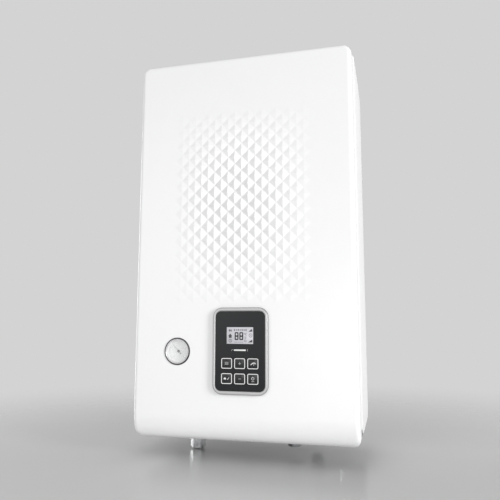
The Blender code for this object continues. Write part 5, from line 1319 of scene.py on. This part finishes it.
def pump():
    """Pump housing with unions and screws, finned motor and its terminal box."""
    z = Box("pump_housing").z
    centre = Vector((RETURN_X, PIPE_Y, z))
    volute = [(0, -15), (29, -15), (36, -13.4), (40.4, -9.6), (42, -5), (42, 7), (41, 8.4), (41, 15),
              (34, 15), (34, -11), (0, -11)]
    piece("pump_volute", lathe(volute, centre, FORWARD), "cast_grey", "pump_housing")
    port = [(8, 36), (14, 36), (12.5, 42), (12.5, 58), (8, 58)]
    ports = [lathe(port, centre, (0, 0, side), 64, ring=True) for side in (-1, 1)]
    nuts = [hexagon(17.5, low, low + 11.6, centre, 12.62, 1.1, 0.4) for low in (z - 57.6, z + 46)]
    piece("pump_ports", gather(*ports), "cast_grey", "pump_housing")
    piece("pump_unions", gather(*nuts), "brass", "pump_housing", 25)
    lug = [(0, 0), (6.2, 0), (6.5, 0.5), (6.5, 6.5), (6, 7), (0, 7)]
    spots = [(x, PIPE_Y - 8, up) for x, up in arc((RETURN_X, z), 44.5, 45, 405, 4)[:-1]]
    lugs = [lathe(lug, spot, FORWARD, 32) for spot in spots]
    piece("pump_lugs", gather(*lugs), "cast_grey", "pump_housing")
    heads = [socket_screw((x, y - 7, up), 3.8) for x, y, up in spots]
    piece("pump_screws", gather(*heads), "zinc_steel", "pump_housing", 20)
    base = centre - Vector((0, 15.3, 0))
    can = [(0, 47), (4.3, 47), (4.3, 44), (19.5, 44), (19.5, 0), (40, 0), (40, 6)]
    for start in (7 + 4.4 * i for i in range(8)):
        can += [(37, start), (37, start + 2), (39.8, start + 2.3), (39.8, start + 4.1)]
    can += [(37, 43), (37, 46), (35.8, 48.6), (33, 49.8), (13, 49.8), (12, 48.8), (0, 48.8)]
    piece("pump_can", lathe(can, base, FORWARD), "black_plastic", "pump_motor")
    plug = [(0, 50.6), (3, 50.6), (3, 51.6), (7.6, 51.6), (8.6, 50.8), (8.6, 48.6), (0, 48.6)]
    piece("pump_plug", lathe(plug, base, FORWARD, 48), "stainless", "pump_motor")
    roof = Box("pump_motor").top
    low = (RETURN_X - 23, base.y - 43, z + 39)
    high = (RETURN_X + 23, base.y - 7, roof)
    seam = roof - 9
    boxes = [block(low, (high[0], high[1], seam), 0.8),
             block((low[0] - 0.5, low[1] - 0.5, seam - 0.2), (high[0] + 0.5, high[1] + 0.5, roof), 1.6, 3)]
    piece("pump_box", gather(*boxes), "black_plastic", "pump_motor", 35)
    outlet = [(0, -1), (7.5, -1), (7.5, 3), (6, 3.6), (6, 9), (4.6, 10), (0, 10)]
    side = (low[0], (low[1] + high[1]) / 2, (low[2] + seam) / 2 + 3)
    piece("pump_gland", lathe(outlet, side, (-1, 0, 0), 32), "black_plastic", "pump_motor")


def water_pipes():
    """Bent pipes and their port collars, and the flow switch."""
    pipe = Box("supply_pipe")
    port = pipe.top - 9
    ahead = pipe.front + 9
    level = Box("tank").bottom - 29
    back = pipe.back if pipe.back < PIPE_Y - 50 else PIPE_Y - 55.3
    route = [(SUPPLY_X, back, port), (SUPPLY_X, ahead, port), (SUPPLY_X, ahead, level),
             (SUPPLY_X, PIPE_Y, level), (SUPPLY_X, PIPE_Y, pipe.bottom)]
    piece("supply_tube", sweep(bent(route, 19.9), PIPE, PIPE_BORE), "copper", "supply_pipe")
    piece("supply_port", collar((SUPPLY_X, PIPE_Y - 53.6, port), FORWARD, 9.1, 13.5, 5.4), "brass", "tank")
    pipe = Box("flow_pipe")
    flow = pipe.top - 9
    route = [(RETURN_X, PIPE_Y, pipe.bottom), (RETURN_X, PIPE_Y, flow), (pipe.left, PIPE_Y, flow)]
    piece("flow_tube", sweep(bent(route, 20), PIPE, PIPE_BORE), "copper", "flow_pipe")
    piece("flow_port", collar((pipe.left - 1.7, PIPE_Y, flow), (1, 0, 0), 9.1, 13.5, 5.4), "brass", "tank")
    pipe = Box("inlet_pipe")
    level = Box("fill_valve").top - 13
    route = [(INLET_X, PIPE_Y, pipe.bottom), (INLET_X, PIPE_Y, level), (pipe.left, PIPE_Y, level)]
    piece("inlet_tube", sweep(bent(route, 20), 8.5, 7.5), "chrome", "inlet_pipe")
    box = Box("flow_switch")
    body = prism(rounded(box.depth, box.height, 6, (PIPE_Y, flow), 6), box.left, box.right, "X",
                 [circle((PIPE_Y, flow), 9.3, 48)])
    piece("switch_body", softened(body, 0.8), "black_plastic", "flow_switch", 16)
    rings = [collar((x, PIPE_Y, flow), (way, 0, 0), 9.12, 12.5, 4)
             for x, way in ((box.right, 1), (box.left, -1))]
    piece("switch_rings", gather(*rings), "brass", "flow_switch")
    dome = [(0, 6.5), (5.5, 6.2), (7.5, 4.8), (8, 3), (8, -0.5), (0, -0.5)]
    piece("switch_sensor", lathe(dome, (box.x, box.front, flow), FORWARD, 40), "grey_plastic", "flow_switch")


def inner_valves():
    """The filling valve and the relief valve with its knob."""
    sideways = (-1, 0, 0)
    valve = Box("fill_valve")
    top = valve.top
    foot = valve.bottom
    level = top - 13
    body = [(0, top), (7, top), (8.2, top - 1), (8.2, top - 4.4), (10, top - 5), (10, foot + 22),
            (8.8, foot + 21), (8.8, foot + 14), (10, foot + 13), (10, foot + 0.8), (9.2, foot), (3.3, foot),
            (3.3, foot + 8.3), (0, foot + 8.3)]
    piece("fill_body", lathe(body, (FILL_X, PIPE_Y, 0), steps=64), "brass", "fill_valve")
    nut = hexagon(11.6, foot + 14.5, foot + 20.5, (FILL_X, PIPE_Y), 8.9, 0.8, 0.2)
    piece("fill_nut", nut, "brass", "fill_valve", 25)
    reach = FILL_X - SUPPLY_X - 9.3
    arm = [(0, 8), (7, 8), (7, 12), (8.8, 12.6), (8.8, 19.4), (7, 20), (7, reach), (0, reach)]
    piece("fill_arm", lathe(arm, (FILL_X, PIPE_Y, level), sideways, 48), "brass", "fill_valve")
    tee = [(9.12, -8), (11.6, -8), (12.4, -7.2), (12.4, 7.2), (11.6, 8), (9.12, 8)]
    piece("fill_tee", lathe(tee, (SUPPLY_X, PIPE_Y, level), steps=64, ring=True), "brass", "fill_valve")
    level = Box("pump_housing").z
    middle = (RELIEF_X, PIPE_Y, level)
    end = Box("relief_valve").bottom - level
    body = [(0, 17), (11, 17), (12, 16), (12, 9.2), (13.2, 8.6), (13.2, -8.6), (11, -10.5), (10, -16.4),
            (8.5, -17.4), (7, -17.4), (7, -15), (0, -15)]
    piece("relief_body", lathe(body, middle, steps=64), "brass", "relief_valve")
    tube = [(7, -17.2), (8.5, -17.2), (8.5, end + 0.4), (8.1, end), (7, end)]
    piece("relief_tube", lathe(tube, middle, ring=True), "chrome", "relief_valve")
    nut = hexagon(15.6, level - 6, level + 6, middle, 12.9, 0.8)
    piece("relief_nut", nut, "brass", "relief_valve", 25)
    reach = RELIEF_X - RETURN_X - 42.3
    arm = [(0, 11), (7, 11), (7, 15), (8.8, 15.6), (8.8, 21), (7, 21.6), (7, reach), (0, reach)]
    piece("relief_arm", lathe(arm, middle, sideways, 48), "brass", "relief_valve")
    knob = Box("relief_knob")
    grip = softened(prism(waved(middle, 14.9, 1.1, 8, 128), knob.bottom, knob.top), 1.2, 3)
    piece("relief_grip", grip, "red_plastic", "relief_knob", 28, body="relief_handle")


def control_board():
    """The green board with its components."""
    box = Box("control_board")
    sheet = block((box.left, box.front, box.bottom), (box.right, box.back, box.top), 0.2)
    piece("board_sheet", sheet, "board_green", "control_board")

    def parts(name, rows, slot):
        """Small boxes on the board from (across, up, width, depth, height) rows."""
        made = []
        for across, up, width, depth, height in rows:
            x = box.left + box.width * across
            z = box.bottom + box.height * up
            made.append(around((x, box.front - (depth / 2 - 0.1), z), (width, depth, height), 0.4))
        piece(name, gather(*made), slot, "control_board", 20)

    parts("board_relays", [(0.13 + 0.14 * i, 0.56, 15.5, 16, 20) for i in range(4)] +
          [(0.86, 0.6, 20, 14, 28)], "black_plastic")
    parts("board_chips", [(0.3, 0.34, 14, 2.2, 14), (0.14, 0.4, 8, 2, 5), (0.45, 0.4, 8, 2, 5),
                          (0.62, 0.86, 10, 2, 7), (0.86, 0.86, 8, 2, 12), (0.62, 0.42, 5, 2, 9)],
          "black_plastic")
    parts("board_plugs", [(0.1 + 0.13 * i, 0.045, 17, 10, 9) for i in range(4)] +
          [(0.08, 0.2 + 0.1 * i, 9, 10, 18) for i in range(2)] + [(0.93, 0.42, 9, 10, 22)], "cream_plastic")
    parts("board_sink", [(0.72, 0.62, 30, 3, 34)] + [(0.64 + 0.026 * i, 0.62, 1.4, 17, 34) for i in range(7)],
          "stainless")
    cans = []
    tops = []
    for across, up, r, height in ((0.62, 0.76, 9, 26), (0.78, 0.77, 6.5, 20), (0.9, 0.74, 5, 14),
                                  (0.22, 0.24, 5, 12), (0.34, 0.22, 5, 12), (0.5, 0.7, 4, 11)):
        foot = (box.left + box.width * across, box.front, box.bottom + box.height * up)
        can = [(0, -0.1), (r, -0.1), (r, 1.6), (r - 0.4, 2), (r, 2.4), (r, height - 0.6), (r - 0.6, height),
               (0, height)]
        lid = [(0, height - 0.1), (r - 1.2, height - 0.1), (r - 1.4, height + 0.15), (0, height + 0.15)]
        cans.append(lathe(can, foot, FORWARD, 40))
        tops.append(lathe(lid, foot, FORWARD, 40))
    piece("board_capacitors", gather(*cans), "black_plastic", "control_board")
    piece("board_capacitor_tops", gather(*tops), "stainless", "control_board")
    heads = [socket_screw((x, box.front, z), 3.2) for x in (box.left + 8, box.right - 8)
             for z in (box.bottom + 8, box.top - 8)]
    piece("board_screws", gather(*heads), "zinc_steel", "control_board", 20)


def switchgear():
    """Transformer, contactor and supply terminals, and the back plate's bolts."""
    box = Box("transformer")
    plates = [block((box.left, box.back - 6 - 2.2 * i, box.bottom),
                    (box.right, box.back - 4.1 - 2.2 * i, box.top), 0.2, 1) for i in range(9)]
    bars = [block((box.left + 0.4, box.back - 23, z - 2), (box.right - 0.4, box.back - 0.2, z + 2), 0.3)
            for z in (box.bottom + 3, box.top - 3)]
    piece("transformer_core", gather(*plates, *bars), "zinc_steel", "transformer")
    coil = block((box.x - 13, box.front, box.z - 11), (box.x + 13, box.back, box.z + 11), 3, 4)
    piece("transformer_coil", coil, "winding_yellow", "transformer", 40)
    box = Box("contactor")
    ledge = box.front + 11
    body = [block((box.left, box.front, box.z - 14), (box.right, box.back, box.z + 14), 1),
            block((box.left, ledge, box.bottom), (box.right, box.back, box.top), 0.8),
            block((box.x - 7, box.front - 1.2, box.z - 5), (box.x + 7, box.front + 0.5, box.z + 5), 0.4)]
    piece("contactor_body", gather(*body), "grey_plastic", "contactor")
    heads = [socket_screw((box.x + dx, ledge, box.z + dz), 3.2)
             for dx in (-13.5, -4.5, 4.5, 13.5) for dz in (-20, 20)]
    piece("contactor_screws", gather(*heads), "zinc_steel", "contactor", 20)
    box = Box("terminal_block")
    ledge = box.front + 6
    step = box.width / 6
    body = [block((box.left, ledge, box.bottom), (box.right, box.back, box.top), 0.6)]
    for x in (box.left + step * i for i in range(7)):
        body.append(block((max(box.left, x - 0.9), box.front, box.bottom),
                          (min(box.right, x + 0.9), box.back, box.top), 0.4))
    piece("terminal_body", gather(*body), "cream_plastic", "terminal_block")
    heads = [socket_screw((box.left + step * (i + 0.5), ledge, box.z + dz), 3.4)
             for i in range(6) for dz in (-6, 6)]
    piece("terminal_screws", gather(*heads), "zinc_steel", "terminal_block", 20)
    front = Box("back_plate").front
    heads = [bolt((x, front, z), FORWARD, 3.6) for x in (-30, 30) for z in (-20, -300, -500)]
    piece("plate_bolts", gather(*heads), "zinc_steel", None, 20)


def studio():
    """A grey backdrop that the camera and reflections see, with an even light of its own."""
    scene = bpy.context.scene
    scene.view_settings.view_transform = "Standard"
    scene.world = bpy.data.worlds.new("studio")
    scene.world.use_nodes = True
    tree = scene.world.node_tree
    light = tree.nodes["Background"]
    light.inputs["Color"].default_value = (1, 1, 1, 1)
    light.inputs["Strength"].default_value = WORLD_LEVEL
    seen = add(tree, "Background", {"Color": (BACKDROP, BACKDROP, BACKDROP, 1)})
    path = add(tree, "LightPath").outputs
    seen_rays = path["Is Camera Ray"]
    for kind in ("Is Glossy Ray", "Is Transmission Ray"):
        seen_rays = add(tree, "Math", {0: seen_rays, 1: path[kind]}, operation="MAXIMUM").outputs["Value"]
    mix = add(tree, "MixShader", {"Fac": seen_rays, 1: light.outputs["Background"],
                                  2: seen.outputs["Background"]})
    tree.links.new(mix.outputs["Shader"], tree.nodes["World Output"].inputs["Surface"])


def lamp(name, azimuth, rise, distance, size, level):
    """A soft lamp that gives a surface facing it at the target this level of light."""
    turn = math.radians(azimuth)
    place = STUDIO_TARGET + distance * Vector((math.sin(turn), -math.cos(turn), rise))
    data = bpy.data.lights.new(name, "AREA")
    data.shape = "RECTANGLE"
    data.size, data.size_y = size
    data.energy = level * math.pi ** 2 * (STUDIO_TARGET - place).length ** 2
    made = placed(name, data)
    made.location = place
    made.rotation_euler = (STUDIO_TARGET - place).to_track_quat("-Z", "Y").to_euler()


def floor():
    """A pale, slightly glossy floor that fades into the backdrop away from the object."""
    level = cad_bounds[0].z - FLOOR_DROP
    work = bmesh.new()
    bmesh.ops.create_grid(work, x_segments=1, y_segments=1, size=FLOOR_HALF)
    bmesh.ops.translate(work, vec=(0, 0, level), verts=work.verts)
    made = placed("floor", as_mesh(work))
    tree = surface("floor", (0.66, 0.66, 0.66), 0.24, mottle=0, bump=0, spread=0.02,
                   Specular_IOR_Level=0.18)
    made.data.materials.append(looks["floor"])
    where = add(tree, "TexCoord").outputs["Object"]
    shift = add(tree, "VectorMath", {0: where, 1: (0, FLOOR_MIDDLE, level)}, operation="SUBTRACT")
    length = add(tree, "VectorMath", {0: shift.outputs["Vector"]}, operation="LENGTH")
    fade = add(tree, "MapRange", {"From Min": FLOOR_FADE[0], "From Max": FLOOR_FADE[1],
                                  "Value": length.outputs["Value"]}, interpolation_type="SMOOTHSTEP")
    side = add(tree, "NewGeometry").outputs["Backfacing"]
    clear = add(tree, "Math", {0: fade.outputs["Result"], 1: side}, operation="MAXIMUM")
    mix = add(tree, "MixShader", {
        "Fac": clear.outputs["Value"], 1: tree.nodes["Principled BSDF"].outputs["BSDF"],
        2: add(tree, "BsdfTransparent").outputs["BSDF"]})
    tree.links.new(mix.outputs["Shader"], tree.nodes["Material Output"].inputs["Surface"])


def carried_nodes():
    """Give every node that still shows its finish and weld its seams; break the sharp edges of the BEVELLED
    ones.
    """
    for row in frame["record"]["subparts"]:
        node = frame["nodes"][row["node"]]
        if node.hide_render:
            continue
        slot = row["material_slot"]
        node.data.materials.clear()
        node.data.materials.append(looks[slot])
        weld = node.modifiers.new("Weld", "WELD")
        weld.merge_threshold = WELD * MM
        if row["node"] in BEVELLED:
            soften(node, BEVELLED[row["node"]], 2, 50)


camera()
finishes()
for build in (front_cover, cover_fixings, control_panel, key_caps, display, gauge, casing_shell, tray_shell,
              fittings, grommets, heat_exchanger, straps, expansion_vessel, pump, water_pipes, inner_valves,
              control_board, switchgear, carried_nodes, studio, floor):
    build()
for row in STUDIO_LAMPS:
    lamp(*row)
